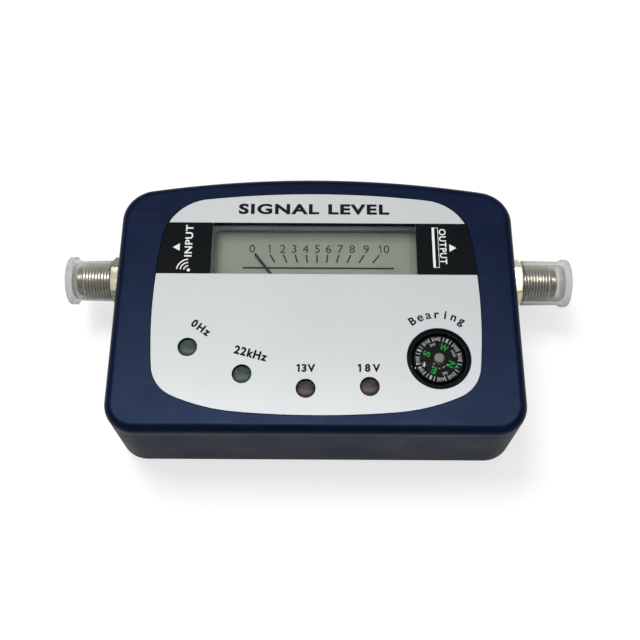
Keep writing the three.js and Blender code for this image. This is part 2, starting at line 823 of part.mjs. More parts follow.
function makeJewelScrew() {
  const bottom = hubTop + hubNeckHeight + seatGap;
  const top = bottom + jewelScrewHeight;
  const half = screwSlotWidth / 2;
  const reach = jewelScrewRadius + overrun;
  const slot = block([-reach, -half, top - screwSlotDepth], [reach, half, top + overrun]);
  return cut(makeJewel(jewelScrewRadius, bottom, top, false), slot);
}

add("yoke_ring", makeYoke(), steel, movement);
add("core_holder", makeCoreHolder(), brass, movement);
const coreBottom = holderTop + seatGap;
add("core_magnet", disc(0, 0, coreRadius, coreBottom, coreBottom + coreHeight), magnetSteel, movement);
add("upper_bridge", makeBridge(), brass, movement);
add("upper_jewel_screw", makeJewelScrew(), brass, movement);
const lowerJewel = makeJewel(jewelRadius, movementBase, movementBase + jewelHeight, true);
add("lower_jewel", lowerJewel, brass, movement);

// Turning part of the movement, drawn with the needle at mid scale and turned back to the zero mark.

const turning = new THREE.Group();
turning.rotation.z = restTurn;
movement.add(turning);

function makeCoil() {
  const half = coilThickness / 2;
  const outer = block([-coilOuterHalfWidth, -half, coilBottom], [coilOuterHalfWidth, half, coilTop]);
  const deep = half + overrun;
  const inner = block(
    [-coilInnerHalfWidth, -deep, coilWindowBottom],
    [coilInnerHalfWidth, deep, coilWindowBottom + coilWindowHeight],
  );
  return cut(outer, inner);
}

function makeNeedle() {
  const rootLow = hubBottom + (hubHeight - needleThickness) / 2;
  const rootHigh = rootLow + needleThickness;
  const highLow = needleLevel;
  const highHigh = needleLevel + needleThickness;
  const side = new THREE.Shape();
  side.moveTo(-needleTailReach, rootLow);
  side.lineTo(needleRootReach, rootLow);
  side.lineTo(needleRampReach, highLow);
  side.lineTo(needleLength, highLow);
  side.lineTo(needleLength, highHigh);
  side.lineTo(needleRampReach, highHigh);
  side.lineTo(needleRootReach, rootHigh);
  side.lineTo(-needleTailReach, rootHigh);
  side.closePath();
  const strip = prism(side, -needleWidth / 2, needleWidth / 2);
  strip.rotateX(Math.PI / 2).rotateZ(Math.PI / 2);
  const neckTop = hubTop + hubNeckHeight;
  const hub = turned([
    [0, hubBottom],
    [hubRadius, hubBottom],
    [hubRadius, hubTop],
    [hubNeckRadius, hubTop],
    [hubNeckRadius, neckTop],
    [pivotPinRadius, neckTop],
    [pivotPinRadius, neckTop + hubPinHeight],
    [0, neckTop + hubPinHeight],
  ], smallFacets);
  return join(strip, hub);
}

function makeLowerPivot() {
  const collarBottom = coilBottom - seatGap / 2 - lowerCollarHeight;
  const pinBottom = movementBase + jewelHeight - jewelBoreDepth + seatGap;
  return turned([
    [0, pinBottom],
    [pivotPinRadius, pinBottom],
    [pivotPinRadius, collarBottom],
    [lowerCollarRadius, collarBottom],
    [lowerCollarRadius, coilBottom - seatGap / 2],
    [0, coilBottom - seatGap / 2],
  ], smallFacets);
}

// A flat spiral strip whose outer end stops beside the fixed lug.
function makeHairspring(bottom) {
  const steps = springTurns * plainFacets;
  const edge = (offset) => Array.from({ length: steps + 1 }, (_, index) => {
    const share = index / steps;
    const radius = springInnerRadius + springPitch * springTurns * share + offset;
    const angle = 2 * Math.PI * springTurns * share - restTurn;
    return new THREE.Vector2(radius * Math.cos(angle), radius * Math.sin(angle));
  });
  const outer = edge(springStripWidth);
  const inner = edge(0).reverse();
  return prism(new THREE.Shape([...outer, ...inner]), bottom, bottom + springStripHeight);
}

function makeBalanceWeight() {
  const bottom = hubBottom + (hubHeight + needleThickness) / 2 + seatGap / 2;
  const place = weightRadius - needleTailReach;
  return disc(0, place, weightRadius, bottom, bottom + weightHeight, smallFacets);
}

add("moving_coil", makeCoil(), copper, turning);
add("meter_needle", makeNeedle(), blackPaint, turning);
add("lower_pivot", makeLowerPivot(), steel, turning);
add("balance_weight", makeBalanceWeight(), brass, turning);
add("upper_hairspring", makeHairspring(hubTop + seatGap), brass, turning);
add("lower_hairspring", makeHairspring(coilBottom - seatGap / 2 - lowerCollarHeight), brass, turning);

// Circuit board and its parts.

function makeBoard() {
  const sheet = prism(bodyOutline(boardInset), boardBottom, boardTop);
  const low = boardBottom - overrun;
  const high = boardTop + overrun;
  const hole = (x, y, radius) => disc(x, y, radius, low, high, tinyFacets);
  const terminalY = pivotPlaceY + terminalPlaceY;
  const bossCuts = Object.values(bosses).map(([x, y]) => disc(x, y, bossRadius + boardBossGap, low, high));
  const screwHoles = Object.values(posts).map(([x, y]) => hole(x, y, boardScrewShankRadius + faceGap));
  const legHoles = Object.values(lamps).flatMap(([x, y]) => [
    hole(x - lampLegPitch / 2, y, lampLegWidth),
    hole(x + lampLegPitch / 2, y, lampLegWidth),
  ]);
  const sideHoles = [-1, 1].flatMap((sign) => [
    hole(pivotPlaceX + sign * terminalPlaceX, terminalY, terminalPinRadius + leadHoleGap),
    hole(sign * contactTailPlace, connectorY, contactRadius + leadHoleGap),
    hole(sign * groundLeadPlace, connectorY, groundLeadRadius + leadHoleGap),
  ]);
  return cut(sheet, ...bossCuts, ...screwHoles, ...legHoles, ...sideHoles);
}

function makeLamp(x, y) {
  const top = bodyHeight - lampSink;
  const bottom = top - lampLength;
  const domeBase = top - lampRadius;
  const dome = Array.from({ length: edgeFacets + 1 }, (_, index) => {
    const angle = (Math.PI / 2) * (index / (edgeFacets + 1));
    return [lampRadius * Math.cos(angle), domeBase + lampRadius * Math.sin(angle)];
  });
  const body = turned([
    [0, bottom],
    [lampFlangeRadius, bottom],
    [lampFlangeRadius, bottom + lampFlangeHeight],
    [lampRadius, bottom + lampFlangeHeight],
    ...dome,
    [0, top],
  ]);
  const half = lampLegWidth / 2;
  const legs = [-1, 1].map((sign) => {
    const middle = sign * lampLegPitch / 2;
    const foot = boardBottom - leadTail;
    return block([middle - half, -half, foot], [middle + half, half, bottom + lampFlangeHeight]);
  });
  return join(body, ...legs).translate(x, y, 0);
}

function makeChip() {
  const bottom = boardTop + chipStandOff;
  const body = block(
    [-chipLength / 2, -chipWidth / 2, bottom],
    [chipLength / 2, chipWidth / 2, bottom + chipHeight],
  );
  const legs = [];
  for (let index = 0; index < chipPinsPerSide; index += 1) {
    const middle = (index - (chipPinsPerSide - 1) / 2) * chipPinPitch;
    const half = chipPinWidth / 2;
    for (const sign of [-1, 1]) {
      const inner = sign * (chipWidth / 2 - chipPinWidth);
      const outer = sign * (chipWidth / 2 + chipPinSplay);
      const knee = outer - sign * chipPinWidth;
      const shelf = bottom + chipHeight / 2;
      legs.push(block(
        [middle - half, Math.min(inner, outer), shelf - half],
        [middle + half, Math.max(inner, outer), shelf + half],
      ));
      legs.push(block(
        [middle - half, Math.min(knee, outer), boardTop + seatGap],
        [middle + half, Math.max(knee, outer), shelf + half],
      ));
    }
  }
  return join(body, ...legs).translate(chipX, chipY, 0);
}

function makeCapacitor() {
  const bottom = boardTop + seatGap;
  const top = bottom + capacitorHeight;
  const groove = bottom + capacitorGroovePlace;
  return turned([
    [0, bottom],
    [capacitorRadius, bottom],
    [capacitorRadius, groove],
    [capacitorRadius - capacitorGroove, groove + capacitorGroove],
    [capacitorRadius, groove + capacitorGroove * 2],
    [capacitorRadius, top - capacitorGroove],
    [capacitorRadius - capacitorGroove, top],
    [0, top],
  ]).translate(capacitorX, capacitorY, 0);
}

function makeChoke() {
  const bottom = boardTop + seatGap;
  const top = bottom + chokeHeight;
  return turned([
    [0, bottom],
    [chokeFlangeRadius, bottom],
    [chokeFlangeRadius, bottom + chokeFlangeThickness],
    [chokeWaistRadius, bottom + chokeFlangeThickness],
    [chokeWaistRadius, top - chokeFlangeThickness],
    [chokeFlangeRadius, top - chokeFlangeThickness],
    [chokeFlangeRadius, top],
    [0, top],
  ]).translate(chokeX, chokeY, 0);
}

add("circuit_board", makeBoard(), boardGreen);
for (const [place, [x, y]] of Object.entries(posts)) {
  const headBottom = boardBottom - seatGap - boardScrewHeadHeight;
  const screw = makeScrew(
    x, y, headBottom, boardScrewHeadRadius, boardScrewHeadHeight, boardScrewShankRadius, boardScrewGrip,
  );
  add(`board_screw_${place}`, screw, steel);
}
for (const [name, [x, y, color]] of Object.entries(lamps)) {
  add(name, makeLamp(x, y), material(color, 0.3));
}
add("amplifier_chip", makeChip(), blackPlastic);
add("smoothing_capacitor", makeCapacitor(), blackPlastic);
add("bypass_choke", makeChoke(), magnetSteel);

// Level control.

function makePot() {
  const bottom = boardTop + seatGap;
  const shaftTop = wheelTop + wheelHubRise + potShaftRise;
  return turned([
    [0, bottom],
    [potRadius, bottom],
    [potRadius, bottom + potHeight],
    [potShaftRadius, bottom + potHeight],
    [potShaftRadius, shaftTop],
    [0, shaftTop],
  ]);
}

function makeWheel() {
  const rim = new THREE.Shape();
  for (let index = 0; index < wheelTeeth * 2; index += 1) {
    const angle = Math.PI * index / wheelTeeth;
    const radius = wheelRadius - (index % 2) * wheelToothDepth;
    if (index === 0) rim.moveTo(radius, 0);
    else rim.lineTo(radius * Math.cos(angle), radius * Math.sin(angle));
  }
  rim.closePath();
  const hub = disc(0, 0, potRadius, wheelTop - wheelThickness / 2, wheelTop + wheelHubRise);
  const bore = disc(0, 0, potShaftRadius + wheelBoreGap, wheelBottom - overrun, wheelTop + overrun);
  return cut(join(prism(rim, wheelBottom, wheelTop), hub), bore);
}

const level = new THREE.Group();
level.position.set(wheelX, wheelY, 0);
assembly.add(level);
add("level_pot", makePot(), blackPlastic, level);
add("level_wheel", makeWheel(), blackPlastic, level);

// Compass.

const compass = new THREE.Group();
compass.position.set(compassX, compassY, 0);
assembly.add(compass);
const cupRim = bodyHeight - cupRimSink;
const cupSeat = cupRim - cupSeatDepth;
const cupBottom = bodyHeight - cupDepth;
const cupFloorTop = cupBottom + cupFloor;
const cardTop = bodyHeight - cardDepth;
const cardBottom = cardTop - cardThickness;
const compassMagnetTop = cardBottom - seatGap;
const stemBottom = cardTop + seatGap - capStemLength;

function makeCup() {
  return turned([
    [0, cupBottom],
    [cupRadius, cupBottom],
    [cupRadius, topUnderside - seatGap - cupFlangeHeight],
    [cupFlangeRadius, topUnderside - seatGap - cupFlangeHeight],
    [cupFlangeRadius, topUnderside - seatGap],
    [cupRadius, topUnderside - seatGap],
    [cupRadius, cupRim],
    [cupRadius - cupRimWidth, cupRim],
    [cupRadius - cupRimWidth, cupSeat],
    [cupRadius - cupRimWidth - cupSeatWidth, cupSeat],
    [cupChamberRadius, cupSeat - cupSlopeDepth],
    [cupChamberRadius, cupFloorTop],
    [0, cupFloorTop],
  ], fineFacets);
}

// A shallow clear dome on the seat inside the cup's rim.
function makeDome() {
  const radius = cupRadius - cupRimWidth - seatGap;
  const bottom = cupSeat + seatGap / 2;
  const steps = edgeFacets + 1;
  const arc = (lift) => Array.from({ length: steps }, (_, index) => {
    const share = (index + 1) / (steps + 1);
    return [radius * (1 - share), bottom + lift + domeRise * (1 - (1 - share) ** 2)];
  });
  return turned([
    [0, bottom + domeRise],
    ...arc(0).reverse(),
    [radius, bottom],
    [radius, bottom + domeThickness],
    ...arc(domeThickness),
    [0, bottom + domeRise + domeThickness],
  ], fineFacets);
}

function makeCompassPin() {
  const foot = cupFloorTop + seatGap / 2;
  const tip = stemBottom + capStemLength / 2;
  return turned([
    [0, foot],
    [pinFootRadius, foot],
    [pinFootRadius, foot + pinFootHeight],
    [pinRadius, foot + pinFootHeight],
    [pinRadius, tip - pinRadius * 2],
    [0, tip],
  ], smallFacets);
}

// The tan cap: a button over the card, with a bored stem that rides on the pin's point.
function makeCompassCap() {
  const underside = cardTop + seatGap;
  const boreEnd = stemBottom + capStemLength / 2 + pinRadius / 2;
  return turned([
    [0, boreEnd],
    [capStemBoreRadius, boreEnd],
    [capStemBoreRadius, stemBottom],
    [capStemRadius, stemBottom],
    [capStemRadius, underside],
    [capRadius, underside],
    [capRadius, underside + capHeight - capEdge],
    [capRadius - capEdge, underside + capHeight],
    [0, underside + capHeight],
  ], smallFacets);
}

function makeCompassMagnet() {
  const long = compassMagnetLength / 2;
  const half = compassMagnetWidth / 2;
  const low = compassMagnetTop - compassMagnetHeight;
  const outline = new THREE.Shape([
    new THREE.Vector2(-long, 0),
    new THREE.Vector2(-long / 2, -half),
    new THREE.Vector2(long / 2, -half),
    new THREE.Vector2(long, 0),
    new THREE.Vector2(long / 2, half),
    new THREE.Vector2(-long / 2, half),
  ]);
  const hole = disc(0, 0, cardHoleRadius, low - overrun, cardBottom, smallFacets);
  return cut(prism(outline, low, compassMagnetTop), hole);
}

add("compass_cup", makeCup(), blackPlastic, compass);
add("compass_dome", makeDome(), clearPlastic, compass);
add("compass_pin", makeCompassPin(), steel, compass);
const card = new THREE.Group();
card.rotation.z = THREE.MathUtils.degToRad(northTurnDegrees);
compass.add(card);
const cardDisc = cut(
  disc(0, 0, cardRadius, cardBottom, cardTop, fineFacets),
  disc(0, 0, cardHoleRadius, cardBottom - overrun, cardTop + overrun, smallFacets),
);
add("compass_card", cardDisc, blackPlastic, card);
add("compass_magnet", makeCompassMagnet().rotateZ(Math.PI / 2), magnetSteel, card);
add("compass_cap", makeCompassCap(), jewelTan, card);

// Connectors: each is turned along +X and mirrored by a half turn for the left side.

function alongX(profile, facets = fineFacets) {
  return turned(profile.map(([place, radius]) => [radius, place]), facets).rotateY(Math.PI / 2);
}

function makeConnectorBody() {
  const flangeEnd = innerPadPlace - seatGap;
  const ridges = Math.floor((threadEnd - threadStart) / threadPitch);
  const thread = [];
  for (let index = 0; index < ridges; index += 1) {
    const root = threadStart + index * threadPitch;
    thread.push([root, threadRootRadius], [root + threadPitch / 2, threadRadius]);
  }
  const noseEdge = (threadRadius - noseRadius) / 2;
  return alongX([
    [barrelStart, barrelBoreRadius],
    [barrelStart, barrelRadius],
    [flangeEnd - barrelFlangeThickness, barrelRadius],
    [flangeEnd - barrelFlangeThickness, barrelFlangeRadius],
    [flangeEnd, barrelFlangeRadius],
    [flangeEnd, threadRadius],
    [threadStart - threadPitch / 2, threadRadius],
    ...thread,
    [threadEnd, threadRootRadius],
    [threadEnd + noseEdge, noseRadius],
    [noseEnd - noseEdge, noseRadius],
    [noseEnd, noseRadius - noseEdge],
    [noseEnd, barrelBoreRadius],
    [barrelStart, barrelBoreRadius],
  ], plainFacets);
}

function makeInsulator() {
  const outer = barrelBoreRadius - seatGap;
  const end = noseEnd - insulatorInset;
  return alongX([
    [barrelStart, insulatorBoreRadius],
    [barrelStart, outer],
    [end, outer],
    [end, insulatorBoreRadius],
    [barrelStart, insulatorBoreRadius],
  ], plainFacets);
}

function makeContact() {
  const end = noseEnd - contactInset;
  const along = alongX([
    [contactTailPlace, 0],
    [contactTailPlace, contactRadius],
    [end, contactRadius],
    [end, 0],
  ], tinyFacets);
  const knee = new THREE.SphereGeometry(contactRadius, tinyFacets, tinyFacets);
  const foot = boardBottom - leadTail - connectorHeight;
  const down = disc(contactTailPlace, 0, contactRadius, foot, 0, tinyFacets);
  return join(along, knee.translate(contactTailPlace, 0, 0), down);
}

function makeNut() {
  const corner = nutFlats / 2 / Math.cos(Math.PI / nutSides);
  const start = spotFacePlace + washerThickness + seatGap * 2;
  const chamfer = threadPitch / 2;
  const hexagon = alongX([
    [start, 0],
    [start, corner],
    [start + nutThickness, corner],
    [start + nutThickness, 0],
  ], nutSides);
  const rounded = alongX([
    [start, 0],
    [start, corner],
    [start + nutThickness - chamfer, corner],
    [start + nutThickness, nutFlats / 2],
    [start + nutThickness, 0],
  ]);
  const bore = alongX([
    [start - overrun, 0],
    [start - overrun, threadRadius + slipGap],
    [start + nutThickness + overrun, threadRadius + slipGap],
    [start + nutThickness + overrun, 0],
  ], plainFacets);
  return cut(geometryOf(solidOf(hexagon).intersect(solidOf(rounded))), bore);
}

function makeWasher() {
  const start = spotFacePlace + seatGap;
  return alongX([
    [start, threadRadius + slipGap],
    [start, washerRadius],
    [start + washerThickness, washerRadius],
    [start + washerThickness, threadRadius + slipGap],
    [start, threadRadius + slipGap],
  ], plainFacets);
}

function makeDustCap(end, length, tubeRadius) {
  const mouth = end - length;
  const bore = threadRadius + slipGap;
  const flangeStart = end - dustCapFlangeThickness;
  return alongX([
    [end - dustCapEndThickness, 0],
    [end - dustCapEndThickness, bore],
    [mouth, bore],
    [mouth, tubeRadius + dustCapFlare],
    [flangeStart, tubeRadius],
    [flangeStart, dustCapFlangeRadius - dustCapEdge],
    [flangeStart + dustCapEdge, dustCapFlangeRadius],
    [end - dustCapEdge, dustCapFlangeRadius],
    [end, dustCapFlangeRadius - dustCapEdge],
    [end, 0],
  ]);
}

for (const [side, sign] of Object.entries(sides)) {
  const connector = new THREE.Group();
  connector.position.set(0, connectorY, connectorHeight);
  connector.rotation.z = sign > 0 ? 0 : Math.PI;
  assembly.add(connector);
  add(`connector_body_${side}`, makeConnectorBody(), nickel, connector);
  add(`connector_insulator_${side}`, makeInsulator(), insulatorWhite, connector);
  add(`centre_contact_${side}`, makeContact(), brass, connector);
  const leadTop = -barrelRadius - seatGap;
  const leadFoot = boardBottom - leadTail - connectorHeight;
  const lead = disc(groundLeadPlace, 0, groundLeadRadius, leadFoot, leadTop, tinyFacets);
  add(`ground_lead_${side}`, lead, steel, connector);
  add(`connector_washer_${side}`, makeWasher(), steel, connector);
  const nut = add(`connector_nut_${side}`, makeNut(), nickel, connector);
  nut.rotation.x = sign * THREE.MathUtils.degToRad(nutTurnDegrees);
  add(`dust_cap_${side}`, makeDustCap(...caps[side]), milkyPlastic, connector);
}

export default assembly;
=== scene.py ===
"""Looks of a hand-held signal meter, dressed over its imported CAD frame.

Lengths are in millimetres while a piece is made, and turn into metres when it is finished. Heights
start at the underside of the housing, the near edge lies towards -Y, and the outlines of the housing
and of the face plate are drawn about the middle of the housing.
"""

import functools
import logging
import math
from dataclasses import dataclass
from enum import Enum
from typing import Any, Callable, Iterable, Sequence

import bmesh
import bpy
from bmesh.types import BMEdge, BMesh, BMVert
from bpy.types import Material, Node, NodeSocket, NodeTree, Object
from mathutils import Matrix, Vector


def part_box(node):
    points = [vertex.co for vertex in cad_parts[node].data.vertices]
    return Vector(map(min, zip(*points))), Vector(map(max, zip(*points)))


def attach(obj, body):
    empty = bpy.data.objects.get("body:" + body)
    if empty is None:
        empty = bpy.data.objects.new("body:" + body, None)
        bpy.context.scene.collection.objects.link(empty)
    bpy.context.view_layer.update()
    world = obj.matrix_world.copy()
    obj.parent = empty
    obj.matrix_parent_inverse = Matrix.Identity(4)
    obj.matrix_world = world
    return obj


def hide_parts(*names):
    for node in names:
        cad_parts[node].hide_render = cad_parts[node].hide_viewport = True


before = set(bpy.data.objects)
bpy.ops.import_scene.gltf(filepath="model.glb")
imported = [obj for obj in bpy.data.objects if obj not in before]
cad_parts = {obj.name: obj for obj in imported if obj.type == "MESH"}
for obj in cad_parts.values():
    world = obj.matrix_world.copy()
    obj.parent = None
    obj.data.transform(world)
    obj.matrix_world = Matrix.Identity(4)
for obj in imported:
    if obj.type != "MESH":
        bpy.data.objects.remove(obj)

LOG = logging.getLogger("signal_meter")

Colour = tuple[int, int, int]
Point = tuple[float, float]
Place = tuple[float, float, float]

MM = 0.001
HOUSING_MIDDLE = -0.525
FACE_HEIGHT = 26.0
MERGE_DISTANCE = 1e-4
LEVEL_TOLERANCE = 1e-3
OVERRUN = 2.0
PRINT_THICKNESS = 0.02
FIELD_TOP = FACE_HEIGHT + PRINT_THICKNESS * 0.6
SMOOTH_BELOW = math.radians(32)
QUARTER = math.pi / 2
TURN = math.tau
SIDES = {"left": -1, "right": 1}
DUST_GREY = (0.5, 0.5, 0.5, 1.0)
SRGB_KNEE, SRGB_SLOPE, SRGB_OFFSET, SRGB_POWER = 0.04045, 12.92, 0.055, 2.4
MIX_SHARE, MIX_FIRST, MIX_SECOND, MIX_RESULT = 0, 6, 7, 2


def linear(colour: Colour, shade: float = 1.0) -> tuple[float, float, float, float]:
    """Turn a colour as it is seen on a screen into the values a shader takes.

    Args:
        colour: Red, green and blue from 0 to 255.
        shade: A factor on all three once they are linear.

    Returns:
        Red, green, blue and a full alpha.
    """
    bent = []
    for share in (value / 255 for value in colour):
        curved = ((share + SRGB_OFFSET) / (1 + SRGB_OFFSET)) ** SRGB_POWER
        bent.append(share / SRGB_SLOPE if share <= SRGB_KNEE else curved)
    return (bent[0] * shade, bent[1] * shade, bent[2] * shade, 1.0)


class Carve(Enum):
    """What a tool does to a blank."""

    CUT = "DIFFERENCE"
    KEEP_COMMON = "INTERSECT"


class Body(Enum):
    """The bodies of the frame that new pieces ride on."""

    HOUSING = "housing"
    CARD = "compass_card"
    CAP_LEFT = "dust_cap_left"
    CAP_RIGHT = "dust_cap_right"


# Blanks and tools.


class Outline:
    """A pen that draws a closed flat outline with arcs and straight runs."""

    def __init__(self, start: Point, height: float) -> None:
        """Put the pen down.

        Args:
            start: Where the outline begins.
            height: The height at which it lies.
        """
        self.bm = bmesh.new()
        self.height = height
        self.pen = self.bm.verts.new((*start, height))

    def line(self, end: Point) -> None:
        """Draw a straight run to a point."""
        made = bmesh.ops.extrude_vert_indiv(self.bm, verts=[self.pen])
        self.pen = made["verts"][0]
        self.pen.co = (*end, self.height)

    def arc(self, centre: Point, angle: float, steps: int) -> None:
        """Draw an arc about a centre.

        Args:
            centre: The middle of the arc's circle.
            angle: How far it turns, anticlockwise, in radians.
            steps: Straight pieces that stand for it.
        """
        made = bmesh.ops.spin(
            self.bm, geom=[self.pen], cent=(*centre, self.height), axis=(0, 0, 1), angle=angle,
            steps=steps,
        )
        self.pen = next(item for item in made["geom_last"] if isinstance(item, BMVert))

    def filled(self) -> BMesh:
        """Close the outline and fill it.

        Returns:
            A mesh that holds one flat face.
        """
        bmesh.ops.remove_doubles(self.bm, verts=self.bm.verts, dist=MERGE_DISTANCE)
        bmesh.ops.contextual_create(self.bm, geom=self.bm.edges)
        return self.bm


def raised(bm: BMesh, height: float) -> BMesh:
    """Raise a flat face into a closed prism.

    Args:
        bm: A mesh that holds one flat face.
        height: How far it is raised.

    Returns:
        The same mesh.
    """
    made = bmesh.ops.extrude_face_region(bm, geom=bm.faces[:])
    top = [item for item in made["geom"] if isinstance(item, BMVert)]
    bmesh.ops.translate(bm, verts=top, vec=(0, 0, height))
    bmesh.ops.recalc_face_normals(bm, faces=bm.faces)
    return bm


def block(low: Sequence[float], high: Sequence[float]) -> BMesh:
    """Make a box between two corners.

    Args:
        low: Its lowest corner.
        high: Its highest corner.

    Returns:
        The box.
    """
    bm = bmesh.new()
    bmesh.ops.create_cube(bm, size=1)
    size = Vector(high) - Vector(low)
    bmesh.ops.scale(bm, vec=size, verts=bm.verts)
    bmesh.ops.translate(bm, vec=Vector(low) + size / 2, verts=bm.verts)
    return bm


def disc(place: Point, radius: float, low: float, high: float, steps: int = 48) -> BMesh:
    """Make an upright round bar.

    Args:
        place: The middle of it, seen from above.
        radius: Its radius.
        low: The height of its lower end.
        high: The height of its upper end.
        steps: Flats round it.

    Returns:
        The bar.
    """
    bm = bmesh.new()
    bmesh.ops.create_cone(
        bm, cap_ends=True, segments=steps, radius1=radius, radius2=radius, depth=high - low
    )
    bmesh.ops.translate(bm, vec=(*place, (low + high) / 2), verts=bm.verts)
    return bm


def turned(profile: Sequence[Point], steps: int = 64) -> BMesh:
    """Turn a profile about the upright axis.

    Args:
        profile: Points of radius and height. A closed ring ends where it starts.
        steps: Flats round the piece.

    Returns:
        A closed solid.
    """
    bm = bmesh.new()
    pen = bm.verts.new((profile[0][0], 0, profile[0][1]))
    for radius, height in profile[1:]:
        pen = bmesh.ops.extrude_vert_indiv(bm, verts=[pen])["verts"][0]
        pen.co = (radius, 0, height)
    bmesh.ops.remove_doubles(bm, verts=bm.verts, dist=MERGE_DISTANCE)
    bmesh.ops.spin(
        bm, geom=bm.verts[:] + bm.edges[:], cent=(0, 0, 0), axis=(0, 0, 1), angle=TURN, steps=steps,
        use_merge=True,
    )
    bmesh.ops.remove_doubles(bm, verts=bm.verts, dist=MERGE_DISTANCE)
    bmesh.ops.recalc_face_normals(bm, faces=bm.faces)
    return bm


def soften(
    bm: BMesh, width: float, sharper_than: float, wanted: Callable[[BMEdge], bool] | None = None
) -> BMesh:
    """Round the sharp edges of a solid.

    Args:
        bm: The solid.
        width: How far the rounding reaches from the edge.
        sharper_than: The least angle between faces, in degrees, that is rounded.
        wanted: A test that an edge has to pass as well.

    Returns:
        The same solid.
    """
    least = math.radians(sharper_than)
    edges = [
        edge for edge in bm.edges
        if len(edge.link_faces) == 2 and edge.calc_face_angle(0) > least
        and (not wanted or wanted(edge))
    ]
    bmesh.ops.bevel(
        bm, geom=edges, offset=width, offset_type="OFFSET", affect="EDGES", segments=2,
        profile=0.5, material=-1, clamp_overlap=True,
    )
    return bm


def moved(bm: BMesh, matrix: Matrix) -> BMesh:
    """Move and turn a blank."""
    bmesh.ops.transform(bm, matrix=matrix, verts=bm.verts)
    return bm


def shifted(bm: BMesh, x: float = 0, y: float = 0, z: float = 0) -> BMesh:
    """Shift a blank without turning it."""
    bmesh.ops.translate(bm, vec=(x, y, z), verts=bm.verts)
    return bm


def gathered(parts: Iterable[BMesh]) -> BMesh:
    """Put several blanks into one mesh and let go of them.

    Args:
        parts: The blanks, which are let go.

    Returns:
        One mesh with all of them.
    """
    whole = bmesh.new()
    for part in parts:
        mesh = bpy.data.meshes.new("gathered")
        part.to_mesh(mesh)
        part.free()
        whole.from_mesh(mesh)
        bpy.data.meshes.remove(mesh)
    return whole


def bench_object(bm: BMesh) -> Object:
    """Lay a blank on the bench as an object and let go of it.

    Args:
        bm: The blank, which is let go.

    Returns:
        The object that holds it.
    """
    mesh = bpy.data.meshes.new("bench")
    bm.to_mesh(mesh)
    bm.free()
    laid = bpy.data.objects.new("bench", mesh)
    bpy.context.scene.collection.objects.link(laid)
    return laid


def lifted(laid: Object) -> BMesh:
    """Read an object with its modifiers and clear it off the bench.

    Args:
        laid: The object, which is removed.

    Returns:
        Its mesh as the modifiers leave it.
    """
    seen = laid.evaluated_get(bpy.context.evaluated_depsgraph_get())
    mesh = bpy.data.meshes.new_from_object(seen)
    bm = bmesh.new()
    bm.from_mesh(mesh)
    bpy.data.meshes.remove(mesh)
    data = laid.data
    bpy.data.objects.remove(laid)
    if isinstance(data, bpy.types.Mesh):
        bpy.data.meshes.remove(data)
    else:
        bpy.data.curves.remove(data)
    return bm


def carved(blank: BMesh, tools: Iterable[BMesh], how: Carve = Carve.CUT) -> BMesh:
    """Cut a blank with tools, or keep what it has in common with them.

    Args:
        blank: The solid that is worked on.
        tools: The solids that work on it.
        how: What they do.

    Returns:
        The solid that is left.
    """
    body = bench_object(blank)
    cutters = [bench_object(tool) for tool in tools]
    for cutter in cutters:
        step = body.modifiers.new("carve", "BOOLEAN")
        step.operation = how.value
        step.solver = "EXACT"
        step.object = cutter
    made = lifted(body)
    for cutter in cutters:
        data = cutter.data
        bpy.data.objects.remove(cutter)
        bpy.data.meshes.remove(data)
    bmesh.ops.remove_doubles(made, verts=made.verts, dist=MERGE_DISTANCE)
    return made


def bounds_of(bm: BMesh) -> tuple[Vector, Vector]:
    """Return the lowest and the highest corner of a blank.

    Args:
        bm: The blank.

    Returns:
        The two corners.
    """
    places = [vert.co for vert in bm.verts]
    low = Vector([min(place[axis] for place in places) for axis in range(3)])
    high = Vector([max(place[axis] for place in places) for axis in range(3)])
    return low, high


def node_box(node: str) -> tuple[Vector, Vector]:
    """Return the lowest and highest corner of a CAD node in millimetres."""
    low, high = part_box(node)
    return low / MM, high / MM


def node_middle(node: str) -> Vector:
    """Return the middle of a CAD node's box in millimetres."""
    low, high = node_box(node)
    return (low + high) / 2


# Shader work.


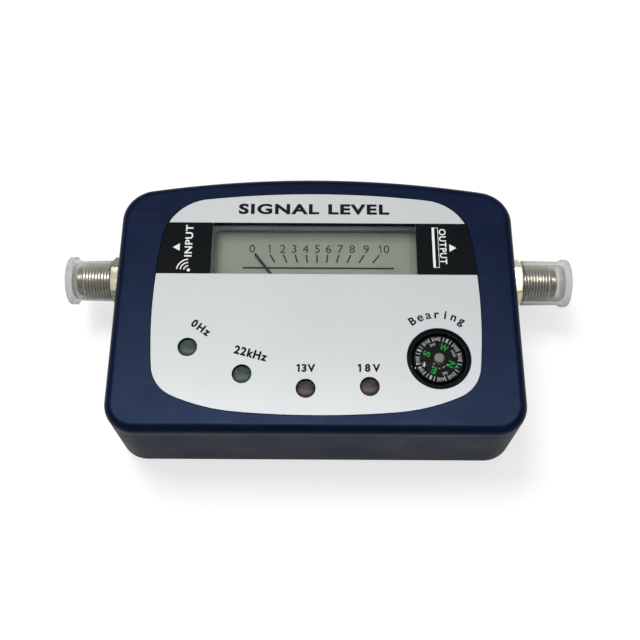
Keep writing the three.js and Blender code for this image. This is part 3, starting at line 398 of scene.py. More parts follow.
class Bench:
    """Puts nodes into one tree and joins them."""

    def __init__(self, tree: NodeTree) -> None:
        """Take hold of a node tree."""
        self.tree = tree

    def put(self, kind: str, inputs: dict[Any, Any] | None = None, **settings: Any) -> Node:
        """Add a node.

        Args:
            kind: The node's class without its common beginning.
            inputs: For each input, a plain value or the socket that feeds it.
            settings: Properties of the node.

        Returns:
            The node.
        """
        node = self.tree.nodes.new(f"ShaderNode{kind}")
        for name, value in settings.items():
            setattr(node, name, value)
        for name, value in (inputs or {}).items():
            if isinstance(value, NodeSocket):
                self.tree.links.new(value, node.inputs[name])
            else:
                node.inputs[name].default_value = value
        return node

    def group(self, tree: NodeTree, inputs: dict[str, Any]) -> Node:
        """Add a shared effect with its own values."""
        return self.put("Group", inputs, node_tree=tree)

    def maths(self, operation: str, first: Any, second: Any = 0.0, third: Any = 0.0) -> NodeSocket:
        """Add a sum and return its result."""
        values = {0: first, 1: second, 2: third}
        return self.put("Math", values, operation=operation).outputs[0]

    def spread(
        self, value: NodeSocket, low: float, high: float, start: float = 0, end: float = 1
    ) -> NodeSocket:
        """Map a value between start and end onto low to high, and hold it there."""
        inputs = {"Value": value, "From Min": start, "From Max": end, "To Min": low, "To Max": high}
        return self.put("MapRange", inputs).outputs["Result"]

    def blend(self, share: Any, first: Any, second: Any) -> NodeSocket:
        """Mix two colours by a share."""
        inputs = {MIX_SHARE: share, MIX_FIRST: first, MIX_SECOND: second}
        return self.put("Mix", inputs, data_type="RGBA").outputs[MIX_RESULT]

    def parted(self, place: NodeSocket) -> Any:
        """Return a place's X, Y and Z as sockets."""
        return self.put("SeparateXYZ", {"Vector": place}).outputs

    def effect(self, name: str, place: NodeSocket, **inputs: float) -> Any:
        """Lay a shared effect on the surface.

        Args:
            name: The effect's name.
            place: Where on the object, in millimetres.
            inputs: Its own values, named with underscores for spaces.

        Returns:
            The effect's outputs.
        """
        given = {title.replace("_", " "): value for title, value in inputs.items()}
        return self.group(Effects.get(name), {"Place": place, **given}).outputs

    def noise(
        self, place: NodeSocket, scale: Any, detail: float = 3, roughness: float = 0.5
    ) -> NodeSocket:
        """Add cloudy noise and return its value."""
        inputs = {"Vector": place, "Scale": scale, "Detail": detail, "Roughness": roughness}
        return self.put("TexNoise", inputs).outputs[0]


class Effect:
    """A shared node group with named inputs and outputs, built once."""

    def __init__(self, name: str, inputs: dict[str, float], outputs: Sequence[str]) -> None:
        """Make the group's tree and its sockets.

        Args:
            name: The group's name.
            inputs: Its number inputs with their usual values. A place input comes before them.
            outputs: Its number outputs.
        """
        self.tree = bpy.data.node_groups.new(name, "ShaderNodeTree")
        face = self.tree.interface
        face.new_socket(name="Place", in_out="INPUT", socket_type="NodeSocketVector")
        for title, value in inputs.items():
            socket = face.new_socket(name=title, in_out="INPUT", socket_type="NodeSocketFloat")
            socket.default_value = value
        for title in outputs:
            face.new_socket(name=title, in_out="OUTPUT", socket_type="NodeSocketFloat")
        self.bench = Bench(self.tree)
        self.given = self.tree.nodes.new("NodeGroupInput").outputs
        self.result = self.tree.nodes.new("NodeGroupOutput").inputs

    def give(self, title: str, value: NodeSocket) -> None:
        """Join a result to an output."""
        self.tree.links.new(value, self.result[title])


def mould_grain_effect() -> NodeTree:
    """Build the spark-eroded grain and slow mottle of moulded plastic.

    Returns:
        The group: Height of the grain and a slow Mottle.
    """
    effect = Effect("mould_grain", {"Grain": 3.0, "Mottle Scale": 0.08}, ["Height", "Mottle"])
    bench, given = effect.bench, effect.given
    fine = bench.noise(given["Place"], given["Grain"], detail=4, roughness=0.6)
    cells = bench.put("TexVoronoi", {"Vector": given["Place"], "Scale": given["Grain"]})
    pits = cells.outputs["Distance"]
    effect.give("Height", bench.maths("MULTIPLY_ADD", pits, 0.35, fine))
    slow = bench.noise(given["Place"], given["Mottle Scale"], roughness=0.55)
    effect.give("Mottle", bench.spread(slow, 0, 1, start=0.3, end=0.7))
    return effect.tree


def scratch_effect() -> NodeTree:
    """Build hair-fine scratches that cross each other.

    Returns:
        The group: a Mask that is 1 in a scratch.
    """
    effect = Effect("hair_scratches", {"Density": 0.25, "Amount": 0.02}, ["Mask"])
    bench, given = effect.bench, effect.given
    masks = []
    for degrees in (24, 102, 157):
        turn = (0, 0, math.radians(degrees))
        mapping = {"Vector": given["Place"], "Rotation": turn, "Scale": (0.12, 9, 3)}
        turned_place = bench.put("Mapping", mapping).outputs["Vector"]
        lines = bench.noise(turned_place, given["Density"], detail=2, roughness=0.4)
        middle = bench.maths("ABSOLUTE", bench.maths("SUBTRACT", lines, 0.5))
        width = bench.maths("MULTIPLY", given["Amount"], 0.1)
        masks.append(bench.maths("LESS_THAN", middle, width))
    patches = bench.spread(bench.noise(given["Place"], 0.11, detail=2), 0, 1, start=0.45, end=0.62)
    either = bench.maths("MAXIMUM", bench.maths("MAXIMUM", masks[0], masks[1]), masks[2])
    effect.give("Mask", bench.maths("MULTIPLY", either, patches))
    return effect.tree


def speck_effect() -> NodeTree:
    """Build scattered specks of dust.

    Returns:
        The group: a Mask that is 1 on a speck.
    """
    effect = Effect("dust_specks", {"Density": 0.9, "Size": 0.05}, ["Mask"])
    bench, given = effect.bench, effect.given
    cells = bench.put("TexVoronoi", {"Vector": given["Place"], "Scale": given["Density"]})
    near = bench.maths("LESS_THAN", cells.outputs["Distance"], given["Size"])
    chosen = bench.put("SeparateColor", {"Color": cells.outputs["Color"]}).outputs[0]
    effect.give("Mask", bench.maths("MULTIPLY", near, bench.maths("GREATER_THAN", chosen, 0.6)))
    return effect.tree


def tool_mark_effect() -> NodeTree:
    """Build the fine rings that a turning tool leaves along the X axis, and a slow tarnish.

    Returns:
        The group: Height of the rings and Tarnish.
    """
    effect = Effect("tool_marks", {"Pitch": 12.0, "Tarnish Scale": 0.5}, ["Height", "Tarnish"])
    bench, given = effect.bench, effect.given
    along = bench.put("Mapping", {"Vector": given["Place"], "Scale": (1, 0.03, 0.03)}).outputs["Vector"]
    effect.give("Height", bench.noise(along, given["Pitch"], detail=2))
    cloud = bench.noise(given["Place"], given["Tarnish Scale"], detail=4, roughness=0.6)
    effect.give("Tarnish", bench.spread(cloud, 0, 1, start=0.35, end=0.7))
    return effect.tree


class Effects:
    """The shared effects, each built when it is first asked for."""

    makers: dict[str, Callable[[], NodeTree]] = {
        "mould_grain": mould_grain_effect,
        "hair_scratches": scratch_effect,
        "dust_specks": speck_effect,
        "tool_marks": tool_mark_effect,
    }

    @classmethod
    def get(cls, name: str) -> NodeTree:
        """Return the effect's tree."""
        return bpy.data.node_groups.get(name) or cls.makers[name]()


@dataclass(frozen=True)
class Finish:
    """A surface finish: what every finish has in common."""

    name: str
    colour: Colour
    roughness: float = 0.5

    @functools.cache
    def material(self) -> Material:
        """Build the material the first time it is asked for.

        Returns:
            The material.
        """
        made = bpy.data.materials.new(f"{self.name}_finish")
        made.use_nodes = True
        made.diffuse_color = linear(self.colour)
        bench = Bench(made.node_tree)
        shader = made.node_tree.nodes["Principled BSDF"]
        shader.inputs["Base Color"].default_value = linear(self.colour)
        shader.inputs["Roughness"].default_value = self.roughness
        seat = bench.put("TexCoord").outputs["Object"]
        place = bench.put("Mapping", {"Vector": seat, "Scale": (1 / MM,) * 3}).outputs["Vector"]
        self.dress(bench, shader, place)
        return made

    def dress(self, bench: Bench, shader: Node, place: NodeSocket) -> None:
        """Give the shader its pattern. Each finish says how.

        Args:
            bench: Where the nodes go.
            shader: The shader that is dressed.
            place: Where on the object, in millimetres.
        """
        raise NotImplementedError

    def bump(self, bench: Bench, shader: Node, height: NodeSocket, depth: float) -> None:
        """Raise the surface by a height map.

        Args:
            bench: Where the nodes go.
            shader: The shader whose normal is bent.
            height: The height map, from 0 to 1.
            depth: What 1 stands for, in millimetres.
        """
        node = bench.put("Bump", {"Height": height, "Strength": 1.0, "Distance": depth * MM})
        bench.tree.links.new(node.outputs["Normal"], shader.inputs["Normal"])

    def feed(self, bench: Bench, shader: Node, **inputs: NodeSocket) -> None:
        """Join sockets to the shader's inputs, named with underscores for spaces."""
        for title, socket in inputs.items():
            bench.tree.links.new(socket, shader.inputs[title.replace("_", " ")])


@dataclass(frozen=True)
class MouldedPlastic(Finish):
    """Opaque moulded plastic with a fine grain, a slow mottle, specks and hair scratches."""

    grain: float = 3.2
    depth: float = 0.006
    gloss: float = 0.5
    gloss_tint: Colour = (255, 255, 255)
    mottle: float = 0.14
    dust: float = 0.05
    wear: float = 0.2
    fresh_share: float = 0.6
    bruise: float = 0.12

    def dress(self, bench: Bench, shader: Node, place: NodeSocket) -> None:
        """Lay the grain, the mottle, the dust and the scratches on the plastic.

        Args:
            bench: Where the nodes go.
            shader: The shader that is dressed.
            place: Where on the object, in millimetres.
        """
        grain = bench.effect("mould_grain", place, Grain=self.grain)
        marks = bench.effect("hair_scratches", place)["Mask"]
        specks = bench.effect("dust_specks", place)["Mask"]
        deep, pale = linear(self.colour, 1 - self.mottle), linear(self.colour, 1 + self.mottle)
        scuffed = [value * self.fresh_share + self.bruise for value in linear(self.colour)[:3]]
        shade = bench.blend(grain["Mottle"], deep, pale)
        shade = bench.blend(bench.maths("MULTIPLY", marks, self.wear), shade, (*scuffed, 1.0))
        shade = bench.blend(bench.maths("MULTIPLY", specks, self.dust), shade, DUST_GREY)
        rough = bench.spread(grain["Mottle"], self.roughness - 0.04, self.roughness + 0.05)
        rough = self.matted(bench, place, bench.maths("MULTIPLY_ADD", specks, 0.1, rough))
        shader.inputs["Specular IOR Level"].default_value = self.gloss
        shader.inputs["Specular Tint"].default_value = linear(self.gloss_tint)
        self.feed(bench, shader, Base_Color=shade, Roughness=rough)
        self.bump(bench, shader, grain["Height"], self.depth)

    def matted(self, bench: Bench, place: NodeSocket, rough: NodeSocket) -> NodeSocket:
        """Return the roughness where the mould was textured. Plain plastic keeps its own."""
        return rough


@dataclass(frozen=True)
class HousingPlastic(MouldedPlastic):
    """Moulded plastic with a satin top and matter walls."""

    wall_top: float = 22.0
    satin_from: float = 24.5
    wall_matt: float = 0.14

    def matted(self, bench: Bench, place: NodeSocket, rough: NodeSocket) -> NodeSocket:
        """Raise the roughness on the walls, below the top's rounded edge."""
        matt = bench.spread(bench.parted(place)["Z"], self.wall_matt, 0, self.wall_top, self.satin_from)
        return bench.maths("ADD", rough, matt)


@dataclass(frozen=True)
class SilverPrint(Finish):
    """A silver ink with fine metal flakes, printed on plastic."""

    flake: float = 9.0
    metal: float = 0.06
    gloss: float = 0.3
    flake_contrast: float = 0.025
    cloud_shade: float = 1.03
    scratch_shade: float = 0.8
    # painted shade: the dark colour of the plate's side faces stands in for the shadow in the gap round
    # the plate
    cut_edge: Colour = (20, 22, 28)
    edge_below: float = FACE_HEIGHT - 0.005
    edge_fade: float = 0.01

    def dress(self, bench: Bench, shader: Node, place: NodeSocket) -> None:
        """Scatter the flakes, lay slow clouds and scratches over them and paint the side faces dark as
        painted shade of the gap round the plate.

        Args:
            bench: Where the nodes go.
            shader: The shader that is dressed.
            place: Where on the object, in millimetres.
        """
        cells = bench.put("TexVoronoi", {"Vector": place, "Scale": self.flake}).outputs["Color"]
        glint = bench.put("SeparateColor", {"Color": cells}).outputs[0]
        grain = bench.effect("mould_grain", place, Grain=5.0, Mottle_Scale=0.05)
        marks = bench.effect("hair_scratches", place, Amount=0.015)["Mask"]
        flake_shades = (1 - self.flake_contrast, 1 + self.flake_contrast)
        shade = bench.blend(glint, *[linear(self.colour, factor) for factor in flake_shades])
        shade = bench.blend(grain["Mottle"], shade, linear(self.colour, self.cloud_shade))
        scratched = bench.maths("MULTIPLY", marks, 0.25)
        shade = bench.blend(scratched, shade, linear(self.colour, self.scratch_shade))
        # painted shade: faces below the plate's top are coloured dark, for the shadow in the gap round
        # it
        fade_from = self.edge_below - self.edge_fade
        shaded_side = bench.spread(bench.parted(place)["Z"], 1, 0, fade_from, self.edge_below)
        shade = bench.blend(shaded_side, shade, linear(self.cut_edge))
        rough = bench.spread(glint, self.roughness - 0.05, self.roughness + 0.05)
        shader.inputs["Metallic"].default_value = self.metal
        shader.inputs["Specular IOR Level"].default_value = self.gloss
        self.feed(bench, shader, Base_Color=shade, Roughness=rough)
        self.bump(bench, shader, grain["Height"], 0.0015)


@dataclass(frozen=True)
class PrintInk(Finish):
    """Screen-printed ink, a little uneven in its cover."""

    uneven: float = 0.12
    gloss: float = 0.06

    def dress(self, bench: Bench, shader: Node, place: NodeSocket) -> None:
        """Let the cover and the gloss of the ink vary.

        Args:
            bench: Where the nodes go.
            shader: The shader that is dressed.
            place: Where on the object, in millimetres.
        """
        shader.inputs["Specular IOR Level"].default_value = self.gloss
        cover = bench.noise(place, 2.4, detail=4, roughness=0.6)
        thin, full = linear(self.colour, 1 - self.uneven), linear(self.colour, 1 + self.uneven)
        shade = bench.blend(cover, thin, full)
        rough = bench.spread(cover, self.roughness - 0.08, self.roughness + 0.08)
        self.feed(bench, shader, Base_Color=shade, Roughness=rough)
        self.bump(bench, shader, bench.noise(place, 9.0, detail=2), 0.001)


@dataclass(frozen=True)
class PaintedSheet(Finish):
    """A painted dial plate: flat paint with the faint grain of its sheet."""

    edge: Colour = (106, 108, 97)

    def dress(self, bench: Bench, shader: Node, place: NodeSocket) -> None:
        """Lay the sheet's grain and slow unevenness under the paint.

        Args:
            bench: Where the nodes go.
            shader: The shader that is dressed.
            place: Where on the object, in millimetres.
        """
        slow = bench.spread(bench.noise(place, 0.12), 0, 1, start=0.35, end=0.7)
        grain = bench.noise(place, 6.0, roughness=0.6)
        slow = bench.maths("MULTIPLY", slow, 0.35)
        shade = bench.blend(slow, linear(self.colour), linear(self.edge))
        shade = bench.blend(bench.maths("MULTIPLY", grain, 0.12), shade, linear(self.colour, 1.15))
        rough = bench.spread(grain, self.roughness - 0.06, self.roughness + 0.06)
        self.feed(bench, shader, Base_Color=shade, Roughness=rough)
        self.bump(bench, shader, grain, 0.002)


@dataclass(frozen=True)
class Metal(Finish):
    """Bare or plated metal with tool marks and a slow tarnish."""

    tarnish: Colour = (120, 110, 96)
    marks: float = 12.0
    depth: float = 0.0012
    tarnished: float = 0.35

    def dress(self, bench: Bench, shader: Node, place: NodeSocket) -> None:
        """Cut the tool marks and lay the tarnish.

        Args:
            bench: Where the nodes go.
            shader: The shader that is dressed.
            place: Where on the object, in millimetres.
        """
        tool = bench.effect("tool_marks", place, Pitch=self.marks)
        cloud = bench.maths("MULTIPLY", tool["Tarnish"], self.tarnished)
        shade = bench.blend(cloud, linear(self.colour), linear(self.tarnish))
        shade = self.aged(bench, place, shade)
        rough = bench.spread(tool["Tarnish"], self.roughness, self.roughness + 0.14)
        shader.inputs["Metallic"].default_value = 1.0
        self.feed(bench, shader, Base_Color=shade, Roughness=rough)
        self.bump(bench, shader, tool["Height"], self.depth)

    def aged(self, bench: Bench, place: NodeSocket, shade: NodeSocket) -> NodeSocket:
        """Return the metal's colour with any painted shade laid on it. Plain metal keeps its own."""
        return shade


@dataclass(frozen=True)
class ThreadedMetal(Metal):
    """Plated metal with painted shade darkening the roots of its thread."""

    axis: Point = (9.95, 13.0)
    # radii between which the painted shade in the thread's roots fades out, and how dark it gets
    clean_from: float = 4.68
    grimy_to: float = 4.4
    grime: float = 0.2

    def aged(self, bench: Bench, place: NodeSocket, shade: NodeSocket) -> NodeSocket:
        """Paint shade on what lies near the thread's roots.

        Args:
            bench: Where the nodes go.
            place: Where on the object, in millimetres.
            shade: The metal's colour before the painted shade.

        Returns:
            The colour with painted shade in the roots.
        """
        parts = bench.parted(place)
        squares = [
            bench.maths("POWER", bench.maths("SUBTRACT", parts[title], middle), 2)
            for title, middle in zip("YZ", self.axis)
        ]
        radius = bench.maths("SQRT", bench.maths("ADD", *squares))
        # painted shade: darker towards the thread's roots, where the grooves lie in shade
        lit_share = bench.spread(radius, self.grime, 1, self.grimy_to, self.clean_from)
        return bench.blend(lit_share, linear(self.tarnish, self.grime), shade)


@dataclass(frozen=True)
class CoilWire(Finish):
    """Varnished copper wire laid side by side along the height."""

    wire: float = 0.12

    def dress(self, bench: Bench, shader: Node, place: NodeSocket) -> None:
        """Lay the turns of wire, with painted shade darkening each turn towards the grooves between
        turns.

        Args:
            bench: Where the nodes go.
            shader: The shader that is dressed.
            place: Where on the object, in millimetres.
        """
        waves = bench.put(
            "TexWave", {"Vector": place, "Scale": 0.5 / self.wire, "Distortion": 0.6, "Detail": 1},
            wave_type="BANDS", bands_direction="Z", wave_profile="SIN",
        ).outputs["Fac"]
        # painted shade: each turn darker towards its sides, where the grooves between turns lie in
        # shade
        shade = bench.blend(waves, linear(self.colour, 0.45), linear(self.colour))
        shader.inputs["Metallic"].default_value = 0.9
        shader.inputs["Coat Roughness"].default_value = 0.2
        rough = bench.spread(waves, self.roughness + 0.15, self.roughness)
        self.feed(bench, shader, Base_Color=shade, Roughness=rough)
        self.bump(bench, shader, waves, 0.05)


@dataclass(frozen=True)
class BoardLaminate(Finish):
    """Solder mask over copper tracks."""

    track: Colour = (44, 120, 72)

    def dress(self, bench: Bench, shader: Node, place: NodeSocket) -> None:
        """Show the tracks through the mask.

        Args:
            bench: Where the nodes go.
            shader: The shader that is dressed.
            place: Where on the object, in millimetres.
        """
        cells = bench.put(
            "TexBrick",
            {"Vector": place, "Scale": 0.22, "Mortar Size": 0.12, "Mortar Smooth": 0.2, "Bias": 0.0},
        ).outputs["Fac"]
        shade = bench.blend(cells, linear(self.colour), linear(self.track))
        weave = bench.noise(place, 4.0, detail=2)
        rough = bench.spread(weave, self.roughness - 0.05, self.roughness + 0.08)
        self.feed(bench, shader, Base_Color=shade, Roughness=rough)
        self.bump(bench, shader, cells, 0.03)


@dataclass(frozen=True)
class ClearPlastic(Finish):
    """Clear moulded plastic that lets the light through to what lies under it."""

    index: float = 1.49
    through: float = 1.0
    ripple: float = 0.002
    ripple_scale: float = 0.25

    def dress(self, bench: Bench, shader: Node, place: NodeSocket) -> None:
        """Make it clear, with a faint ripple and hair scratches, and clear to shadow rays as well.

        Args:
            bench: Where the nodes go.
            shader: The shader that is dressed.
            place: Where on the object, in millimetres.
        """
        marks = bench.effect("hair_scratches", place, Amount=0.012)["Mask"]
        cloud = bench.noise(place, 0.8)
        rough = bench.spread(cloud, self.roughness * 0.8, self.roughness * 1.3)
        rough = bench.maths("MULTIPLY_ADD", marks, 0.03, rough)
        tint = bench.blend(cloud, linear(self.colour, 0.98), linear(self.colour))
        shader.inputs["Transmission Weight"].default_value = self.through
        shader.inputs["IOR"].default_value = self.index
        self.feed(bench, shader, Base_Color=tint, Roughness=rough)
        self.bump(bench, shader, bench.noise(place, self.ripple_scale, detail=2), self.ripple)
        rays = bench.put("LightPath").outputs
        clear = bench.put("BsdfTransparent", {"Color": linear(self.colour)})
        soft = bench.maths("MAXIMUM", rays["Is Shadow Ray"], rays["Is Diffuse Ray"])
        soft = bench.maths("MAXIMUM", soft, rays["Is Glossy Ray"])
        joined = bench.put("MixShader", {0: soft, 1: shader.outputs["BSDF"], 2: clear.outputs["BSDF"]})
        output = bench.tree.nodes["Material Output"]
        bench.tree.links.new(joined.outputs["Shader"], output.inputs["Surface"])


@dataclass(frozen=True)
class MilkyShell(Finish):
    """A thin translucent skin, denser where it is seen edge on."""

    thin: float = 0.14
    dense: float = 0.8

    def dress(self, bench: Bench, shader: Node, place: NodeSocket) -> None:
        """Cloud the skin and let what lies under it show through.

        Args:
            bench: Where the nodes go.
            shader: The shader that is dressed.
            place: Where on the object, in millimetres.
        """
        facing = bench.put("LayerWeight", {"Blend": 0.5}).outputs["Facing"]
        cover = bench.spread(facing, self.thin, self.dense, start=0.15, end=0.95)
        cloud = bench.noise(place, 0.7, roughness=0.55)
        specks = bench.effect("dust_specks", place, Density=1.4)["Mask"]
        cover = bench.maths("MULTIPLY_ADD", bench.maths("SUBTRACT", cloud, 0.5), 0.12, cover)
        cover = bench.maths("MULTIPLY_ADD", specks, 0.2, cover)
        shade = bench.blend(cloud, linear(self.colour, 0.92), linear(self.colour, 1.06))
        rough = bench.spread(cloud, self.roughness - 0.06, self.roughness + 0.08)
        self.feed(bench, shader, Base_Color=shade, Roughness=rough, Alpha=cover)
        self.bump(bench, shader, bench.noise(place, 0.9, detail=2), 0.02)


@dataclass(frozen=True)
class LampResin(Finish):
    """Tinted resin of an unlit lamp, with its darker cup showing from inside."""

    deep: Colour = (40, 46, 42)
    seep: float = 0.25
    gloss: float = 0.06

    def dress(self, bench: Bench, shader: Node, place: NodeSocket) -> None:
        """Cloud the resin between its two shades and let light seep into it.

        Args:
            bench: Where the nodes go.
            shader: The shader that is dressed.
            place: Where on the object, in millimetres.
        """
        cloud = bench.spread(bench.noise(place, 0.9, roughness=0.55), 0, 1, start=0.3, end=0.7)
        shade = bench.blend(cloud, linear(self.deep), linear(self.colour))
        rough = bench.spread(cloud, self.roughness - 0.04, self.roughness + 0.08)
        shader.inputs["Subsurface Weight"].default_value = self.seep
        shader.inputs["Subsurface Radius"].default_value = (MM, MM, MM)
        shader.inputs["Subsurface Scale"].default_value = 0.6
        shader.inputs["Specular IOR Level"].default_value = self.gloss
        self.feed(bench, shader, Base_Color=shade, Roughness=rough)
        self.bump(bench, shader, bench.noise(place, 1.6, detail=2), 0.004)


GLOSS_BLUE = (168, 196, 255)
BLUE_PLASTIC = HousingPlastic("blue_plastic", (4, 14, 38), 0.4, gloss=0.11, gloss_tint=GLOSS_BLUE)
COVER_PLASTIC = MouldedPlastic(
    "cover_plastic", (16, 26, 46), 0.55, grain=2.2, depth=0.012, gloss=0.08, gloss_tint=GLOSS_BLUE
)
SILVER = SilverPrint("silver_print", (188, 192, 193), 0.3, gloss=0.1, metal=0.03)
BLACK_FIELD = PrintInk("black_field_ink", (9, 13, 16), 0.5, gloss=0.025)
BLACK_INK = PrintInk("black_letter_ink", (12, 14, 16), 0.6)
WHITE_INK = PrintInk("white_letter_ink", (222, 225, 224), 0.5, uneven=0.05)
DIAL_INK = PrintInk("dial_ink", (56, 54, 48), 0.6)
DIAL_PAINT = PaintedSheet("dial_paint", (136, 139, 126), 0.6)
CLEAR = ClearPlastic("clear_plastic", (246, 248, 247), 0.03, index=1.07)
MILKY = MilkyShell("milky_plastic", (176, 178, 171), 0.34)
GREY_PLASTIC = MouldedPlastic("grey_plastic", (208, 213, 220), 0.5)
BLACK_PLASTIC = MouldedPlastic("black_plastic", (5, 6, 8), 0.42, gloss=0.03, mottle=0.3, dust=0.01)
KNOB_PLASTIC = MouldedPlastic("knob_plastic", (20, 21, 23), 0.5, grain=4.0, depth=0.01)
CARD_BLACK = PrintInk("card_black", (8, 9, 10), 0.6, uneven=0.3)
CARD_WHITE = PrintInk("card_white", (176, 180, 184), 0.5)
CARD_GREEN = PrintInk("card_green", (28, 150, 74), 0.5)
NEEDLE_PAINT = PrintInk("needle_paint", (52, 56, 54), 0.45)
NICKEL = ThreadedMetal("nickel_plate", (196, 190, 172), 0.27, tarnish=(150, 139, 115), depth=0.0003)
# a copy of the nickel for the left nut: rougher plating, and a darker colour that is painted shade, as
# that nut catches less light
DULL_SHADED_NICKEL = ThreadedMetal(
    "dull_shaded_nickel_plate", (142, 139, 125), 0.5, tarnish=(112, 106, 90), depth=0.0003, tarnished=0.6
)
STEEL = Metal("bright_steel", (176, 178, 180), 0.32, tarnish=(120, 118, 112))
MAGNET = Metal("magnet_steel", (96, 98, 100), 0.5, tarnish=(70, 64, 58), marks=4.0)
BRASS = Metal("brass", (196, 164, 96), 0.28, tarnish=(132, 100, 58))
COPPER = CoilWire("coil_copper", (178, 96, 50), 0.35)
BOARD = BoardLaminate("board_laminate", (26, 84, 52), 0.45)
INSULATOR = MouldedPlastic("insulator_white", (222, 219, 208), 0.5, gloss=0.4, mottle=0.04)
TAN = MouldedPlastic("tan_button", (130, 122, 106), 0.42, gloss=0.1, grain=6.0, mottle=0.2)
GREEN_LAMP = LampResin("green_lamp_resin", (70, 86, 80), 0.3, deep=(48, 60, 56))
RED_LAMP = LampResin("red_lamp_resin", (77, 68, 70), 0.3, deep=(52, 46, 50))


def finished(
    bm: BMesh, name: str, body: Body, finish: Finish, replaces: Sequence[str] = (),
    even_normals: bool = False, smooth_below: float = SMOOTH_BELOW,
) -> None:
    """Turn a blank into a finished piece of the object.

    Args:
        bm: The blank, in millimetres, which is let go.
        name: The piece's name.
        body: The body that it rides on.
        finish: Its finish.
        replaces: The CAD nodes that it stands for.
        even_normals: Whether large flats keep their shading flat beside roundings.
        smooth_below: Edges less sharp than this are shaded smooth.
    """
    bmesh.ops.scale(bm, vec=(MM, MM, MM), verts=bm.verts)
    bmesh.ops.recalc_face_normals(bm, faces=bm.faces)
    mesh = bpy.data.meshes.new(name)
    bm.to_mesh(mesh)
    bm.free()
    mesh.shade_smooth()
    mesh.set_sharp_from_angle(angle=smooth_below)
    piece = bpy.data.objects.new(name, mesh)
    bpy.context.scene.collection.objects.link(piece)
    mesh.materials.append(finish.material())
    if even_normals:
        modifier = piece.modifiers.new("even_normals", "WEIGHTED_NORMAL")
        modifier.keep_sharp = True
    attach(piece, body.value)
    if replaces:
        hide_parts(*replaces)
    LOG.info("%s: %d faces on %s", name, len(mesh.polygons), body.value)


def refinish(finish: Finish, *nodes: str) -> None:
    """Give CAD nodes whose shape stays a better finish.

    Args:
        finish: The finish.
        nodes: The nodes that get it.
    """
    for node in nodes:
        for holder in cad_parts[node].material_slots:
            holder.material = finish.material()
        LOG.info("%s keeps its shape, in %s", node, finish.name)


# Lettering and marks.


@dataclass(frozen=True)
class Letters:
    """A run of plain letters or figures, as a thin raised print."""

    text: str
    height: float
    width: float = 0.0
    weight: float = 0.0
    spacing: float = 1.0
    curve_steps: int = 5

    def blank(self) -> BMesh:
        """Set the letters flat, in the middle of the origin, with their underside on it.

        Returns:
            The letters as thin solids.
        """
        curve = bpy.data.curves.new("letters", "FONT")
        curve.body = self.text
        curve.offset = self.weight
        curve.space_character = self.spacing
        curve.extrude = 0.5
        curve.resolution_u = self.curve_steps
        laid = bpy.data.objects.new("letters", curve)
        bpy.context.scene.collection.objects.link(laid)
        bm = lifted(laid)
        bmesh.ops.remove_doubles(bm, verts=bm.verts, dist=MERGE_DISTANCE)
        low, high = bounds_of(bm)
        size = high - low
        tall = self.height / size.y
        wide = self.width / size.x if self.width else tall
        bmesh.ops.translate(bm, vec=-(low + high) / 2, verts=bm.verts)
        bmesh.ops.scale(bm, vec=(wide, tall, PRINT_THICKNESS), verts=bm.verts)
        bmesh.ops.translate(bm, vec=(0, 0, PRINT_THICKNESS / 2), verts=bm.verts)
        return bm

    def at(self, x: float, y: float, height: float, degrees: float = 0) -> BMesh:
        """Set the letters at a place and turn them anticlockwise."""
        place = Matrix.Translation((x, y, height)) @ Matrix.Rotation(math.radians(degrees), 4, "Z")
        return moved(self.blank(), place)


@dataclass(frozen=True)
class Word:
    """Letters with their place on the object and their turn, anticlockwise in degrees."""

    letters: Letters
    x: float
    y: float
    degrees: float = 0.0

    def printed(self, height: float) -> BMesh:
        """Print the word on a surface."""
        return self.letters.at(self.x, self.y, height, self.degrees)


def bar(start: Point, end: Point, width: float, height: float) -> BMesh:
    """Make a thin printed line between two points.

    Args:
        start: Where its middle line begins.
        end: Where it ends.
        width: How wide it is.
        height: The height of the surface that it is printed on.

    Returns:
        The line.
    """
    run = Vector(end) - Vector(start)
    half = width / 2
    strip = block((0, -half, 0), (run.length, half, PRINT_THICKNESS))
    turn = Matrix.Rotation(math.atan2(run.y, run.x), 4, "Z")
    return moved(strip, Matrix.Translation((*start, height)) @ turn)


def figure_one(x: float, y: float, tall: float, stroke: float, height: float) -> list[BMesh]:
    """Draw the figure 1 with its flag.

    Args:
        x: The middle of its stem.
        y: The middle of its height.
        tall: How tall it is.
        stroke: How wide its stem is.
        height: The height of the surface that it is printed on.

    Returns:
        Its stem and its flag.
    """
    top = y + tall / 2
    stem = bar((x, y - tall / 2), (x, top), stroke, height)
    flag = bar((x - tall * 0.27, top - tall * 0.25), (x, top - stroke * 0.4), stroke * 0.85, height)
    return [stem, flag]


def arrowhead(tip: Point, degrees: float, length: float, width: float, height: float) -> BMesh:
    """Make a thin printed triangle that points along an angle from +X.

    Args:
        tip: Where its tip lies.
        degrees: Where it points, anticlockwise from +X.
        length: From its foot to its tip.
        width: How wide its foot is.
        height: The height of the surface that it is printed on.

    Returns:
        The triangle.
    """
    bm = bmesh.new()
    bmesh.ops.create_circle(bm, cap_ends=True, segments=3, radius=1)
    low, high = bounds_of(bm)
    bmesh.ops.translate(bm, vec=(0, -high.y, 0), verts=bm.verts)
    size = high - low
    bmesh.ops.scale(bm, vec=(width / size.x, length / size.y, 1), verts=bm.verts)
    raised(bm, PRINT_THICKNESS)
    turn = Matrix.Rotation(math.radians(degrees) - QUARTER, 4, "Z")
    return moved(bm, Matrix.Translation((*tip, height)) @ turn)


# The object's sub-assemblies.


